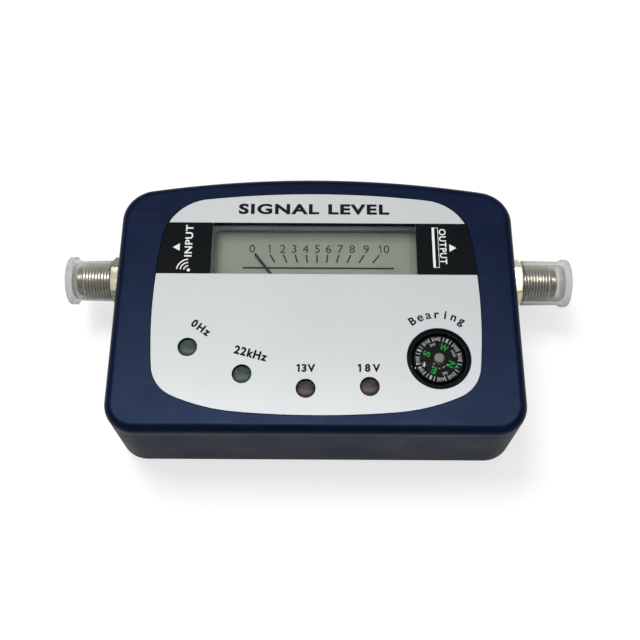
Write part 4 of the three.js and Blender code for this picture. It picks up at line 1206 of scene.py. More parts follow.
@dataclass
class Housing:
    """The drafted upper shell with its openings, and the bottom cover with its screws."""

    width: float = 101.75
    near: float = 34.6
    far: float = 34.6
    bow: float = 270.0
    near_corner: float = 7.5
    far_corner: float = 8.9
    wall: float = 2.4
    top_edge: float = 2.4
    top_edge_steps: int = 9
    corner_steps: int = 14
    bow_steps: int = 28
    draft: float = 0.031
    cover_wall: float = 1.3
    cover_thickness: float = 2.0
    cover_gap: float = 0.1
    recess_depth: float = 0.5
    recess_gap: float = 0.25
    window_relief: float = 0.35
    lamp_hole: float = 2.4
    compass_hole: float = 7.72
    connector_y: float = 9.95
    connector_z: float = 13.0
    connector_hole: float = 4.95
    spot_face: float = 7.0
    spot_place: float = 50.96
    slot_low: Place = (-33.025, 27.2, 8.9)
    slot_high: Place = (-16.025, 38.6, 12.9)
    screw_head: float = 2.6
    screw_shank: float = 1.1
    cross_length: float = 1.35
    cross_width: float = 0.35
    cross_depth: float = 1.35
    cover_edge: float = 0.25
    pad_inner: float = 3.3
    pad_outer: float = 4.0
    pad_low: float = 1.9
    pad_high: float = 3.6

    def outline(self, inset: float, height: float) -> BMesh:
        """Draw the housing's outline at its top edge.

        Args:
            inset: How far it is drawn in.
            height: The height at which it lies.

        Returns:
            One flat face.
        """
        half = self.width / 2 - inset
        near = self.near - inset
        near_radius = self.near_corner - inset
        far_radius = self.far_corner - inset
        bow_centre = self.far - self.bow
        bow = self.bow - inset
        near_x, near_y = half - near_radius, near_radius - near
        far_x = half - far_radius
        far_y = bow_centre + math.sqrt((bow - far_radius) ** 2 - far_x**2)
        angle = math.atan2(far_y - bow_centre, far_x)
        pen = Outline((-near_x, -near), height)
        pen.line((near_x, -near))
        pen.arc((near_x, near_y), QUARTER, self.corner_steps)
        pen.line((half, far_y))
        pen.arc((far_x, far_y), angle, self.corner_steps)
        pen.arc((0, bow_centre), math.pi - 2 * angle, self.bow_steps)
        pen.arc((-far_x, far_y), angle, self.corner_steps)
        pen.line((-half, near_y))
        pen.arc((-near_x, near_y), QUARTER, self.corner_steps)
        return pen.filled()

    def leaned(self, bm: BMesh) -> BMesh:
        """Lean the walls of a blank outwards below the top edge.

        Args:
            bm: The blank, about the middle of the housing.

        Returns:
            The same blank.
        """
        for vert in bm.verts:
            growth = self.draft * (FACE_HEIGHT - vert.co.z)
            vert.co.x *= 1 + growth / (self.width / 2)
            vert.co.y *= 1 + growth / self.near
        return bm

    def prism(self, inset: float, low: float, high: float) -> BMesh:
        """Make a leaned prism of the outline between two heights."""
        return self.leaned(raised(self.outline(inset, low), high - low))

    def along_x(self, side: int, radius: float, start: float, end: float) -> BMesh:
        """Make a round tool on a connector's axis."""
        tool = disc((0, 0), radius, start, end, 64)
        return moved(tool, connector_frame(side, self.connector_y, self.connector_z, 0))

    def shell_blank(self) -> BMesh:
        """Make the shell without the openings in its face.

        Returns:
            The shell, about the middle of the housing.
        """
        outer = self.prism(0, 0, FACE_HEIGHT)
        level = FACE_HEIGHT - LEVEL_TOLERANCE
        at_top = [edge for edge in outer.edges if all(vert.co.z > level for vert in edge.verts)]
        bmesh.ops.bevel(
            outer, geom=at_top, offset=self.top_edge, offset_type="OFFSET", affect="EDGES",
            segments=self.top_edge_steps, profile=0.5, material=-1, clamp_overlap=False,
        )
        cavity = self.prism(self.wall, -OVERRUN, FACE_HEIGHT - self.wall)
        rebate = self.prism(self.cover_wall, -OVERRUN, self.cover_thickness + self.cover_gap)
        return carved(outer, [cavity, rebate])

    def build(self, plate: "FacePlate") -> None:
        """Build the shell, the bottom cover and the cover's screws.

        Args:
            plate: The face plate, whose recess and window are let into the shell.
        """
        shell = self.shell_blank()
        low, high = FACE_HEIGHT - self.wall - OVERRUN, FACE_HEIGHT + OVERRUN
        recess = raised(plate.outline(self.recess_gap, FACE_HEIGHT - self.recess_depth), OVERRUN)
        tools = [recess]
        inside_wall = self.width / 2 - OVERRUN * 3
        for side in SIDES.values():
            tools.append(self.along_x(side, self.connector_hole, inside_wall, self.width))
            tools.append(self.along_x(side, self.spot_face, self.spot_place, self.width))
        shell = shifted(carved(shell, tools), HOUSING_MIDDLE)
        tools = [block(self.slot_low, self.slot_high)]
        tools.append(plate.window_block(self.window_relief, low, high))
        tools += [disc(place, self.lamp_hole, low, high) for place in plate.lamp_places()]
        tools.append(disc(plate.compass_place(), self.compass_hole, low, high, 96))
        shell = carved(shell, tools)
        finished(
            shell, "housing_shell", Body.HOUSING, BLUE_PLASTIC, ["top_housing"],
            even_normals=True,
        )
        self.build_cover()

    def build_cover(self) -> None:
        """Build the bottom cover with its sunk screws."""
        cover = self.prism(self.cover_wall + self.cover_gap, 0, self.cover_thickness)
        soften(
            cover, self.cover_edge, 60, lambda edge: all(v.co.z < LEVEL_TOLERANCE for v in edge.verts)
        )
        cover = shifted(cover, HOUSING_MIDDLE)
        places = ("near_left", "near_right", "far_left", "far_right")
        middles = [node_middle(f"cover_screw_{place}") for place in places]
        sink = self.screw_head + self.recess_gap
        sinks = [disc(tuple(middle.xy), sink, -OVERRUN, OVERRUN * 2) for middle in middles]
        inner, outer, foot, top = self.pad_inner, self.pad_outer, self.pad_low, self.pad_high
        ring = [(inner, foot), (outer, foot), (outer, top), (inner, top), (inner, foot)]
        pads = [shifted(turned(ring), middle.x, middle.y) for middle in middles]
        cover = gathered([carved(cover, sinks), *pads])
        finished(cover, "bottom_cover", Body.HOUSING, COVER_PLASTIC, ["back_cover"])
        for place, middle in zip(places, middles):
            self.build_screw(place, middle)

    def build_screw(self, place: str, middle: Vector) -> None:
        """Build one cross-slotted screw with its head down.

        Args:
            place: Which of the four screws it is.
            middle: The middle of its CAD node.
        """
        head, shank = self.screw_head, self.screw_shank
        face, shoulder, head_end, point, tip = 0.6, 1.05, 2.2, 11.2, 12.2
        body = turned([
            (0, face), (head - 0.7, face + 0.02), (head - 0.25, face + 0.15), (head, shoulder),
            (head, head_end), (shank, head_end), (shank, point), (0, tip),
        ], 40)
        long, thin = self.cross_length, self.cross_width
        halves = ((long, thin), (thin, long))
        slots = [block((-x, -y, -1), (x, y, self.cross_depth)) for x, y in halves]
        body = shifted(carved(body, slots), middle.x, middle.y)
        name = f"cover_screw_{place}"
        finished(body, f"fixing_{name}", Body.HOUSING, STEEL, [name])


@dataclass
class FacePlate:
    """The printed plate in the shell's recess, its black fields and its lettering."""

    thickness: float = 0.5
    edge_round: float = 0.13
    far_reach: float = 29.36
    near_reach: float = 30.43
    half_width: float = 40.87
    waist: float = -2.5
    far_radius: float = 239.0
    near_radius: float = 233.0
    side_radius: float = 138.0
    far_corner: float = 12.5
    near_corner: float = 9.0
    shoulder_place: float = 19.0
    shoulder_radius: float = 49.0
    window_x: Point = (-27.345, 24.925)
    window_y: Point = (6.29, 20.84)
    compass_hole: float = 7.875
    lamp_hole: float = 2.4
    word_radius: float = 11.25
    field_margin: float = 0.02
    field_wrap: float = 0.4
    wave_radii: tuple[float, ...] = (1.2, 2.1, 3.0)
    wave_half_width: float = 0.16
    lamps: tuple[str, ...] = ("lamp_tone_off", "lamp_tone_on", "lamp_low_volt", "lamp_high_volt")
    words: tuple[Word, ...] = (
        Word(Letters("SIGNAL LEVEL", 3.1, 39.2, weight=0.04, spacing=1.14), x=-1.3, y=24.9),
        Word(Letters("0Hz", 2.15, 5.35, weight=0.045, spacing=1.3), x=-28.9, y=-8.4, degrees=-35),
        Word(Letters("22kHz", 2.25, 8.3, weight=0.045, spacing=1.2), x=-16.4, y=-15.0, degrees=-15),
        Word(Letters("3V", 2.05, 3.3, weight=0.045, spacing=1.2), x=-2.3, y=-18.7),
        Word(Letters("8V", 2.05, 3.75, weight=0.045, spacing=1.55), x=13.2, y=-18.6),
    )
    ones: tuple[Point, ...] = ((-4.65, -18.7), (10.2, -18.6))
    one_height: float = 2.05
    one_stroke: float = 0.46
    input_word: Word = Word(Letters("INPUT", 1.95, 9.1, 0.018, 1.1), x=-33.35, y=15.55, degrees=90)
    input_arrow: Point = (-37.35, 13.7)
    input_sign: Point = (-33.0, 7.25)
    output_word: Word = Word(Letters("OUTPUT", 1.8, 10.0, 0.018, 1.12), x=31.8, y=14.3, degrees=-90)
    output_arrow: Point = (35.2, 13.85)
    output_box: tuple[Point, Point] = ((29.1, 8.25), (30.65, 19.7))
    arrow_length: float = 1.75
    arrow_width: float = 2.1

    def outline(self, margin: float, height: float) -> BMesh:
        """Draw the plate's outline about the middle of the housing.

        Args:
            margin: How far it is drawn out.
            height: The height at which it lies.

        Returns:
            One flat face.
        """
        far_centre = Vector((0, self.far_reach - self.far_radius))
        near_centre = Vector((0, self.near_radius - self.near_reach))
        side_centre = Vector((self.half_width - self.side_radius, self.waist))
        bend = -math.acos(self.shoulder_place / self.near_radius)
        reach = self.near_radius - self.shoulder_radius
        shoulder_centre = near_centre + Vector((math.cos(bend), math.sin(bend))) * reach
        far = self.fillet(far_centre, self.far_radius, side_centre, self.far_corner, -1)
        near = self.fillet(shoulder_centre, self.shoulder_radius, side_centre, self.near_corner, 1)
        far_angle = self.angle(far_centre, far)
        near_angle = self.angle(shoulder_centre, near)
        side_far = self.angle(side_centre, far)
        side_near = self.angle(side_centre, near)
        radius = self.near_radius + margin
        start = (near_centre.x - radius * math.cos(bend), near_centre.y + radius * math.sin(bend))
        pen = Outline(start, height)
        pen.arc(tuple(near_centre), math.pi + 2 * bend, 16)
        right = [
            (shoulder_centre, near_angle - bend, 10), (near, side_near - near_angle, 12),
            (side_centre, side_far - side_near, 18), (far, far_angle - side_far, 14),
        ]
        for centre, angle, steps in right:
            pen.arc(tuple(centre), angle, steps)
        pen.arc(tuple(far_centre), math.pi - 2 * far_angle, 24)
        for centre, angle, steps in reversed(right):
            pen.arc((-centre.x, centre.y), angle, steps)
        return pen.filled()

    def fillet(
        self, first: Vector, radius: float, side_centre: Vector, corner: float, hand: int
    ) -> Vector:
        """Find the middle of a corner that touches an arc and the side arc from inside.

        Args:
            first: The middle of the arc.
            radius: The arc's radius.
            side_centre: The middle of the side arc.
            corner: The corner's radius.
            hand: Which of the two crossings is meant.

        Returns:
            The middle of the corner.
        """
        from_first, from_side = radius - corner, self.side_radius - corner
        span = (side_centre - first).length
        along = (from_first**2 - from_side**2 + span**2) / (2 * span)
        across = math.sqrt(from_first**2 - along**2)
        direction = (side_centre - first).normalized()
        return first + direction * along + Vector((-direction.y, direction.x)) * hand * across

    @staticmethod
    def angle(centre: Vector, point: Vector) -> float:
        """Return the angle of a point seen from a centre."""
        return math.atan2(point.y - centre.y, point.x - centre.x)

    def window_block(self, margin: float, low: float, high: float) -> BMesh:
        """Make the tool that opens the window."""
        (left, right), (near, far) = self.window_x, self.window_y
        return block((left - margin, near - margin, low), (right + margin, far + margin, high))

    def lamp_places(self) -> list[Point]:
        """Return where the lamps stand."""
        return [tuple(node_middle(lamp).xy) for lamp in self.lamps]

    def compass_place(self) -> Point:
        """Return where the compass stands."""
        return tuple(node_middle("compass_cup").xy)

    def build(self) -> None:
        """Build the plate and its print."""
        low, high = FACE_HEIGHT - self.thickness, FACE_HEIGHT
        plate = shifted(raised(self.outline(0, low), self.thickness), HOUSING_MIDDLE)
        under, over = low - 1, high + 1
        tools = [self.window_block(0, under, over)]
        tools += [disc(place, self.lamp_hole, under, over, 64) for place in self.lamp_places()]
        tools.append(disc(self.compass_place(), self.compass_hole, under, over, 128))
        plate = soften(carved(plate, tools), self.edge_round, 60)
        finished(
            plate, "printed_plate", Body.HOUSING, SILVER, ["face_overlay"],
            even_normals=True,
        )
        for name, side in SIDES.items():
            self.build_field(name, side)
        self.build_words()

    def build_field(self, name: str, side: int) -> None:
        """Print the black field at one end of the window.

        Args:
            name: The end's name.
            side: -1 for the left end, 1 for the right one.
        """
        outline = self.outline(self.field_margin, FACE_HEIGHT - self.field_wrap)
        field_face = shifted(outline, HOUSING_MIDDLE)
        (left, right), (near, far) = self.window_x, self.window_y
        edge = right + self.field_margin if side > 0 else left - self.field_margin
        cuts = [((0, near, 0), (0, -1, 0)), ((0, far, 0), (0, 1, 0)), ((edge, 0, 0), (-side, 0, 0))]
        for place, direction in cuts:
            bmesh.ops.bisect_plane(
                field_face, geom=field_face.verts[:] + field_face.edges[:] + field_face.faces[:],
                plane_co=place, plane_no=direction, clear_outer=True,
            )
        raised(field_face, self.field_wrap + FIELD_TOP - FACE_HEIGHT)
        finished(field_face, f"black_field_{name}", Body.HOUSING, BLACK_FIELD)

    def build_words(self) -> None:
        """Print the plain words and units on the face and on its fields."""
        printed = [word.printed(FACE_HEIGHT) for word in self.words]
        for place in self.ones:
            printed += figure_one(*place, self.one_height, self.one_stroke, FACE_HEIGHT)
        printed += self.curved_word()
        finished(gathered(printed), "face_lettering", Body.HOUSING, BLACK_INK)
        for side, word, sign, arrow, points_to in (
            ("left", self.input_word, self.wave_sign(self.input_sign), self.input_arrow, 180),
            ("right", self.output_word, self.box_sign(*self.output_box), self.output_arrow, 0),
        ):
            head = arrowhead(arrow, points_to, self.arrow_length, self.arrow_width, FIELD_TOP)
            signs = gathered([head, word.printed(FIELD_TOP), *sign])
            finished(signs, f"{side}_field_signs", Body.HOUSING, WHITE_INK)

    def curved_word(self) -> list[BMesh]:
        """Set the word over the compass, letter by letter round its rim.

        Returns:
            The letters, each with its own height, weight and drop.
        """
        middle = Vector(self.compass_place())
        first, apart = 122.5, 10.7
        tall = {"B": 2.15, "e": 1.65, "a": 1.65, "r": 1.6, "i": 2.15, "n": 1.6, "g": 2.2}
        drop = {"g": -0.35, "i": 0.25, "B": 0.25}
        made = []
        for step, mark in enumerate("Bearing"):
            degrees = first - step * apart
            angle = math.radians(degrees)
            radius = self.word_radius + drop.get(mark, 0)
            spot = middle + Vector((math.cos(angle), math.sin(angle))) * radius
            letter = Letters(mark, tall[mark], weight=0.016 if mark in "ea" else 0.028)
            made.append(letter.at(spot.x, spot.y, FACE_HEIGHT, degrees - 90))
        return made

    def wave_sign(self, place: Point) -> list[BMesh]:
        """Draw a plain sign for waves that arrive: a dot and three arcs.

        Args:
            place: Where the dot lies.

        Returns:
            The dot and the arcs.
        """
        parts = [disc(place, 0.42, FIELD_TOP, FIELD_TOP + PRINT_THICKNESS, 20)]
        turn = Matrix.Rotation(math.radians(95), 4, "Z")
        for radius in self.wave_radii:
            pen = Outline((radius - self.wave_half_width, 0), 0)
            pen.line((radius + self.wave_half_width, 0))
            bm = pen.bm
            bmesh.ops.spin(
                bm, geom=bm.verts[:] + bm.edges[:], cent=(0, 0, 0), axis=(0, 0, 1),
                angle=math.radians(80), steps=14,
            )
            raised(bm, PRINT_THICKNESS)
            parts.append(moved(bm, Matrix.Translation((*place, FIELD_TOP)) @ turn))
        return parts

    @staticmethod
    def box_sign(low: Point, high: Point) -> list[BMesh]:
        """Draw a plain sign for a set-top box seen edge on: an outline with one heavy side.

        Args:
            low: Its near left corner.
            high: Its far right corner.

        Returns:
            Its four lines.
        """
        thin, heavy = 0.14, 0.65
        (left, near), (right, far) = low, high
        upright, inner = left + heavy / 2, left + heavy
        lines = [((upright, near), (upright, far), heavy), ((right, near), (right, far), thin)]
        for y in (near + thin / 2, far - thin / 2):
            lines.append(((inner, y), (right, y), thin))
        return [bar(start, end, width, FIELD_TOP) for start, end, width in lines]


@dataclass
class Dial:
    """The moving-coil dial: its scale, needle, clear cover and movement."""

    pivot: Point = (-0.465, -7.31)
    step: float = 7.45
    tick_rows: Point = (11.85, 14.15)
    tick_width: float = 0.38
    base_start: Point = (-19.785, 10.3)
    base_end: Point = (19.545, 10.3)
    base_width: float = 0.5
    figure_y: float = 15.85
    figure_height: float = 2.3
    figure_stroke: float = 0.26
    figure_pitch: float = 0.7
    one_shift: float = 0.15
    ten_shift: float = -0.75
    figure_x: tuple[float, ...] = (
        -17.465, -12.965, -9.465, -6.465, -3.465, -0.405, 2.535, 5.635, 8.735, 12.435, 17.035,
    )

    def build(self) -> None:
        """Print the scale and finish what stays as the CAD has it."""
        top = node_box("scale_plate")[1].z
        marks = [bar(self.base_start, self.base_end, self.base_width, top)]
        for number, x in enumerate(self.figure_x):
            slope = math.tan(math.radians((number - 5) * self.step))
            ends = [(self.pivot[0] + (y - self.pivot[1]) * slope, y) for y in self.tick_rows]
            marks.append(bar(*ends, self.tick_width, top))
            if number in (1, 10):
                stem_x = x + (self.ten_shift if number == 10 else self.one_shift)
                marks += figure_one(stem_x, self.figure_y, self.figure_height, self.figure_stroke, top)
                x += self.figure_pitch
            if number != 1:
                marks.append(Letters(str(number % 10), self.figure_height).at(x, self.figure_y, top))
        finished(gathered(marks), "scale_markings", Body.HOUSING, DIAL_INK)
        refinish(DIAL_PAINT, "scale_plate")
        refinish(GREY_PLASTIC, "meter_case")
        refinish(CLEAR, "meter_cover")
        refinish(NEEDLE_PAINT, "meter_needle")
        refinish(STEEL, "yoke_ring", "lower_pivot")
        refinish(MAGNET, "core_magnet")
        refinish(
            BRASS, "core_holder", "upper_bridge", "upper_jewel_screw", "lower_jewel", "balance_weight",
            "upper_hairspring", "lower_hairspring", "meter_terminal_left", "meter_terminal_right",
        )
        refinish(COPPER, "moving_coil")


@dataclass
class Lamps:
    """The four indicator lamps."""

    radius: float = 2.3
    flange: float = 2.85
    flange_height: float = 1.0
    length: float = 8.6
    dome_rise: float = 0.55
    leg: float = 0.5
    leg_pitch: float = 2.54
    dome_steps: int = 14

    def build(self) -> None:
        """Build each lamp over its CAD node."""
        for node, finish in (
            ("lamp_tone_off", GREEN_LAMP), ("lamp_tone_on", GREEN_LAMP),
            ("lamp_low_volt", RED_LAMP), ("lamp_high_volt", RED_LAMP),
        ):
            low, high = node_box(node)
            middle = (low + high) / 2
            lamp = shifted(self.blank(low.z, high.z), middle.x, middle.y)
            finished(lamp, f"{node}_resin", Body.HOUSING, finish, [node])

    def blank(self, foot: float, top: float) -> BMesh:
        """Turn the lamp's body and add its legs.

        Args:
            foot: The height of the legs' ends.
            top: The height of the dome's top.

        Returns:
            The lamp, about the upright axis.
        """
        bottom = top - self.length
        dome_base = top - self.dome_rise
        angles = [QUARTER * index / self.dome_steps for index in range(self.dome_steps)]
        dome = [(self.radius * math.cos(a), dome_base + self.dome_rise * math.sin(a)) for a in angles]
        profile = [
            (0, bottom), (self.flange, bottom), (self.flange, bottom + self.flange_height),
            (self.radius, bottom + self.flange_height), *dome, (0, top),
        ]
        half = self.leg / 2
        places = (-self.leg_pitch / 2, self.leg_pitch / 2)
        legs = [block((x - half, -half, foot), (x + half, half, bottom)) for x in places]
        return gathered([turned(profile, 56), *legs])


@dataclass
class Compass:
    """The small round compass with its turning card."""

    north: float = -25.0
    rim: float = 7.6
    rim_inner: float = 7.25
    chamber: float = 6.3
    dome: float = 7.15
    card: float = 5.95
    card_hole: float = 1.05
    tick_outer: float = 5.7
    tick_inner: float = 4.6
    tick_step: int = 10
    thin_tick: float = 0.2
    wide_tick: float = 0.5
    letter_radius: float = 3.2
    point_radius: float = 3.85
    arrow_radius: float = 5.3
    arrow_length: float = 0.95
    arrow_width: float = 1.1
    figure_height: float = 0.85
    figure_width: float = 1.35
    point_height: float = 0.72
    fine_weight: float = 0.01
    letter_height: float = 1.7
    letter_weight: float = 0.02
    steps: int = 96

    def build(self) -> None:
        """Build the cup, the dome, the card with its print, and the button."""
        centre = tuple(node_middle("compass_cup").xy)
        top = node_box("compass_card")[1].z
        for blank, name, body, slot, finish, node in (
            (self.cup(), "compass_bezel", Body.HOUSING, "black_plastic", BLACK_PLASTIC, "compass_cup"),
            (self.crystal(), "compass_crystal", Body.HOUSING, "clear_plastic", CLEAR, "compass_dome"),
            (self.card_disc(), "compass_dial", Body.CARD, "black_plastic", CARD_BLACK, "compass_card"),
            (self.rays(top), "compass_rays", Body.CARD, "silver_print", CARD_WHITE, None),
            (self.letters(top), "compass_letters", Body.CARD, "green_lamp", CARD_GREEN, None),
            (self.button(), "compass_button", Body.CARD, "tan_jewel", TAN, "compass_cap"),
        ):
            finished(shifted(blank, *centre), name, body, finish, [node] if node else ())
        refinish(STEEL, "compass_pin")
        refinish(MAGNET, "compass_magnet")

    def cup(self) -> BMesh:
        """Turn the cup with its rim, the dome's seat and its flange under the face.

        Returns:
            The cup, about the upright axis.
        """
        low, high = node_box("compass_cup")
        rim, inner, top = self.rim, self.rim_inner, high.z
        seat, flange, flange_low, flange_high, floor = top - 0.45, 9.2, 21.7, 23.5, 22.6
        return turned([
            (0, low.z), (rim, low.z), (rim, flange_low), (flange, flange_low), (flange, flange_high),
            (rim, flange_high), (rim, top - 0.12), (rim - 0.06, top - 0.03), (rim - 0.14, top),
            (inner + 0.05, top), (inner, top - 0.05), (inner, seat), (6.7, seat),
            (self.chamber, seat - 0.6), (self.chamber, floor), (0, floor),
        ], self.steps)

    def crystal(self) -> BMesh:
        """Turn the clear dome.

        Returns:
            A closed shell of even thickness.
        """
        low, high = node_box("compass_dome")
        thickness, steps = 0.6, 18
        rise = high.z - low.z - thickness

        def arch(lift: float) -> list[Point]:
            """Return the arch from its rim to its top, raised by a lift."""
            shares = [index / steps for index in range(steps)]
            return [(self.dome * (1 - s), low.z + lift + rise * (1 - (1 - s) ** 2)) for s in shares]

        inner = arch(0) + [(0, low.z + rise)]
        outer = arch(thickness) + [(0, high.z)]
        return turned(inner[::-1] + outer, self.steps)

    def card_disc(self) -> BMesh:
        """Turn the card, a thin flat ring.

        Returns:
            The card, about the upright axis.
        """
        low, high = node_box("compass_card")
        hole, rim = self.card_hole, self.card
        ring = [(hole, low.z), (rim, low.z), (rim, high.z), (hole, high.z), (hole, low.z)]
        return turned(ring, self.steps)

    def button(self) -> BMesh:
        """Turn the tan button that rides on the pin.

        Returns:
            The button, about the upright axis.
        """
        low, high = node_box("compass_cap")
        top, underside, radius, bearing = high.z, high.z - 1.05, 1.25, 24.775
        return turned([
            (0, bearing), (0.6, bearing), (0.6, low.z), (0.95, low.z), (0.95, underside),
            (radius, underside), (radius, top - 0.32), (radius - 0.06, top - 0.16),
            (radius - 0.18, top - 0.04), (radius - 0.34, top), (0, top),
        ], 48)

    def around(self, degrees: float, radius: float) -> Point:
        """Return a place on the card, clockwise from north."""
        angle = math.radians(self.north - degrees)
        return (radius * math.cos(angle), radius * math.sin(angle))

    def set_round(self, letters: Letters, degrees: float, radius: float, top: float) -> BMesh:
        """Set letters on the card, clockwise from north, with their heads outwards."""
        return letters.at(*self.around(degrees, radius), top, self.north - degrees - 90)

    def rays(self, top: float) -> BMesh:
        """Draw the card's rays, its degrees and the four points between the letters.

        Args:
            top: The height of the card's face.

        Returns:
            The white print, about the card's axis.
        """
        made = []
        figure_radius = (self.tick_inner + self.tick_outer) / 2
        for degrees in range(self.tick_step, 360, self.tick_step):
            if degrees % 30 == 0 and degrees % 90:
                figures = Letters(
                    str(degrees), self.figure_height, self.figure_width, self.fine_weight
                )
                made.append(self.set_round(figures, degrees, figure_radius, top))
                continue
            width = self.wide_tick if degrees % 90 == 0 else self.thin_tick
            ends = [self.around(degrees, radius) for radius in (self.tick_inner, self.tick_outer)]
            made.append(bar(*ends, width, top))
        for degrees, mark in ((45, "NE"), (135, "SE"), (225, "SW"), (315, "NW")):
            point = Letters(mark, self.point_height, weight=self.fine_weight)
            made.append(self.set_round(point, degrees, self.point_radius, top))
        return gathered(made)

    def letters(self, top: float) -> BMesh:
        """Draw the card's four letters and its arrowhead at north.

        Args:
            top: The height of the card's face.

        Returns:
            The green print, about the card's axis.
        """
        made = []
        for degrees, mark, width in ((0, "N", 1.55), (90, "E", 1.2), (180, "S", 1.25), (270, "W", 2.0)):
            letter = Letters(mark, self.letter_height, width, self.letter_weight)
            made.append(self.set_round(letter, degrees, self.letter_radius, top))
        tip = self.around(0, self.arrow_radius)
        made.append(arrowhead(tip, self.north, self.arrow_length, self.arrow_width, top))
        return gathered(made)


def connector_frame(side: int, y: float, z: float, middle: float = HOUSING_MIDDLE) -> Matrix:
    """Return the placing of a piece that was turned upright onto a connector's axis.

    Args:
        side: -1 for the left connector, 1 for the right one.
        y: Where the axis lies.
        z: The axis's height.
        middle: The middle of the housing.

    Returns:
        The matrix that lays it out along the axis.
    """
    return Matrix.Translation((middle, y, z)) @ Matrix.Rotation(side * QUARTER, 4, "Y")


@dataclass
class Connector:
    """One threaded coaxial connector with its nut, washer and dust cap."""

    side: str
    cap_end: float
    cap_length: float
    cap_tube: float
    thread: float = 4.76
    root: float = 4.3
    pitch: float = 0.794
    thread_start: float = 54.5
    thread_end: float = 61.8
    nose: float = 4.0
    nose_end: float = 63.6
    bore: float = 3.3
    cap_bore: float = 4.88
    cap_flange: float = 6.4
    cap_flange_thickness: float = 1.7
    cap_end_thickness: float = 1.4
    nut_flats: float = 11.1
    nut_start: float = 51.76
    nut_end: float = 54.36
    nut_round: float = 0.1
    nut_turn: float = 0.0
    nut_finish: Finish = NICKEL
    inner_end: float = 42.6
    steps: int = 72

    def placed(self, bm: BMesh) -> BMesh:
        """Lay an upright piece out on this connector's axis."""
        middle = node_middle(f"connector_body_{self.side}")
        return moved(bm, connector_frame(SIDES[self.side], middle.y, middle.z))

    def build(self) -> None:
        """Build the pieces of this connector."""
        side = self.side
        for blank, name, slot, finish, node in (
            (self.placed(self.barrel()), "threaded_barrel", "nickel", NICKEL, "body"),
            (self.placed(self.insulator()), "insulator", "insulator_white", INSULATOR, "insulator"),
            (self.placed(self.washer()), "washer", "steel", STEEL, "washer"),
            (self.nut(), "lock_nut", "nickel", self.nut_finish, "nut"),
        ):
            finished(blank, f"{name}_{side}", Body.HOUSING, finish, [f"connector_{node}_{side}"])
        body = Body.CAP_LEFT if side == "left" else Body.CAP_RIGHT
        finished(
            self.placed(self.cap()), f"dust_cover_{side}", body, MILKY,
            [f"dust_cap_{side}"], smooth_below=math.radians(50),
        )
        refinish(BRASS, f"centre_contact_{side}")
        refinish(STEEL, f"ground_lead_{side}")

    def washer(self) -> BMesh:
        """Turn the washer under the nut, with its outer corners taken off.

        Returns:
            The washer, upright.
        """
        inner, outer, low, high, corner = self.cap_bore, 6.2, 51.06, 51.66, 0.1
        return turned([
            (inner, low), (outer - corner, low), (outer, low + corner), (outer, high - corner),
            (outer - corner, high), (inner, high), (inner, low),
        ], self.steps)

    def barrel(self) -> BMesh:
        """Turn the threaded barrel.

        Returns:
            The barrel, upright, with its place along the axis as its height.
        """
        inner_end, tail, flange, flange_start, flange_end = self.inner_end, 4.0, 6.6, 46.4, 48.5
        root_share, crest_start, crest_end = 0.08, 0.36, 0.64
        nose, end, chamfer, neck, bore, bore_edge = self.nose, self.nose_end, 0.38, 0.25, self.bore, 0.1
        ridges = int((self.thread_end - self.thread_start) / self.pitch)
        profile: list[Point] = [
            (bore, inner_end), (tail, inner_end), (tail, flange_start), (flange, flange_start),
            (flange, flange_end), (self.thread, flange_end),
            (self.thread, self.thread_start - self.pitch / 2),
        ]
        for index in range(ridges):
            root = self.thread_start + index * self.pitch
            profile += [
                (self.root, root - self.pitch * root_share),
                (self.root, root + self.pitch * root_share),
                (self.thread, root + self.pitch * crest_start),
                (self.thread, root + self.pitch * crest_end),
            ]
        profile += [
            (self.root, self.thread_end), (nose, self.thread_end + neck), (nose, end - chamfer),
            (nose - chamfer, end), (bore + bore_edge, end), (bore, end - bore_edge), (bore, inner_end),
        ]
        return turned(profile, self.steps)

    def insulator(self) -> BMesh:
        """Turn the white insulator with its countersunk mouth.

        Returns:
            The insulator, upright.
        """
        outer, end, start, hole = self.bore - 0.1, self.nose_end - 0.8, self.inner_end, 0.9
        corner, mouth, mouth_depth = 0.12, 1.5, 0.6
        return turned([
            (hole, start), (outer, start), (outer, end - corner), (outer - corner, end), (mouth, end),
            (hole, end - mouth_depth), (hole, start),
        ], 56)

    def nut(self) -> BMesh:
        """Make the hexagon nut, turned as the photograph shows it, close to the CAD's.

        Returns:
            The nut in its place.
        """
        middle = node_middle(f"connector_body_{self.side}")

        def corner_angle(places: Iterable[Vector]) -> float:
            """Return the angle about the axis of the place that lies farthest out.

            Args:
                places: Points of the nut.

            Returns:
                The angle, in radians.
            """
            far = max(
                places, key=lambda place: (place.y - middle.y) ** 2 + (place.z - middle.z) ** 2
            )
            return math.atan2(far.z - middle.z, far.y - middle.y)

        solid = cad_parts[f"connector_nut_{self.side}"].data
        wanted = corner_angle([vert.co / MM for vert in solid.vertices])
        flat, slope = self.nut_flats / 2, 0.4
        corner = flat / math.cos(math.pi / 6)
        start, end, crown = self.nut_start, self.nut_end, flat * 0.97
        hexagon = disc((0, 0), corner, start, end, 6)
        rounding = turned([
            (0, start), (crown, start), (corner, start + slope), (corner, end - slope), (crown, end),
            (0, end),
        ], self.steps)
        nut = carved(hexagon, [rounding], Carve.KEEP_COMMON)
        nut = carved(nut, [disc((0, 0), self.cap_bore, start - 1, end + 1, 64)])
        soften(nut, self.nut_round, 24)
        nut = self.placed(nut)
        turn = wanted - corner_angle([vert.co for vert in nut.verts]) - math.radians(self.nut_turn)
        about = Matrix.Translation((0, middle.y, middle.z))
        return moved(nut, about @ Matrix.Rotation(turn, 4, "X") @ about.inverted())

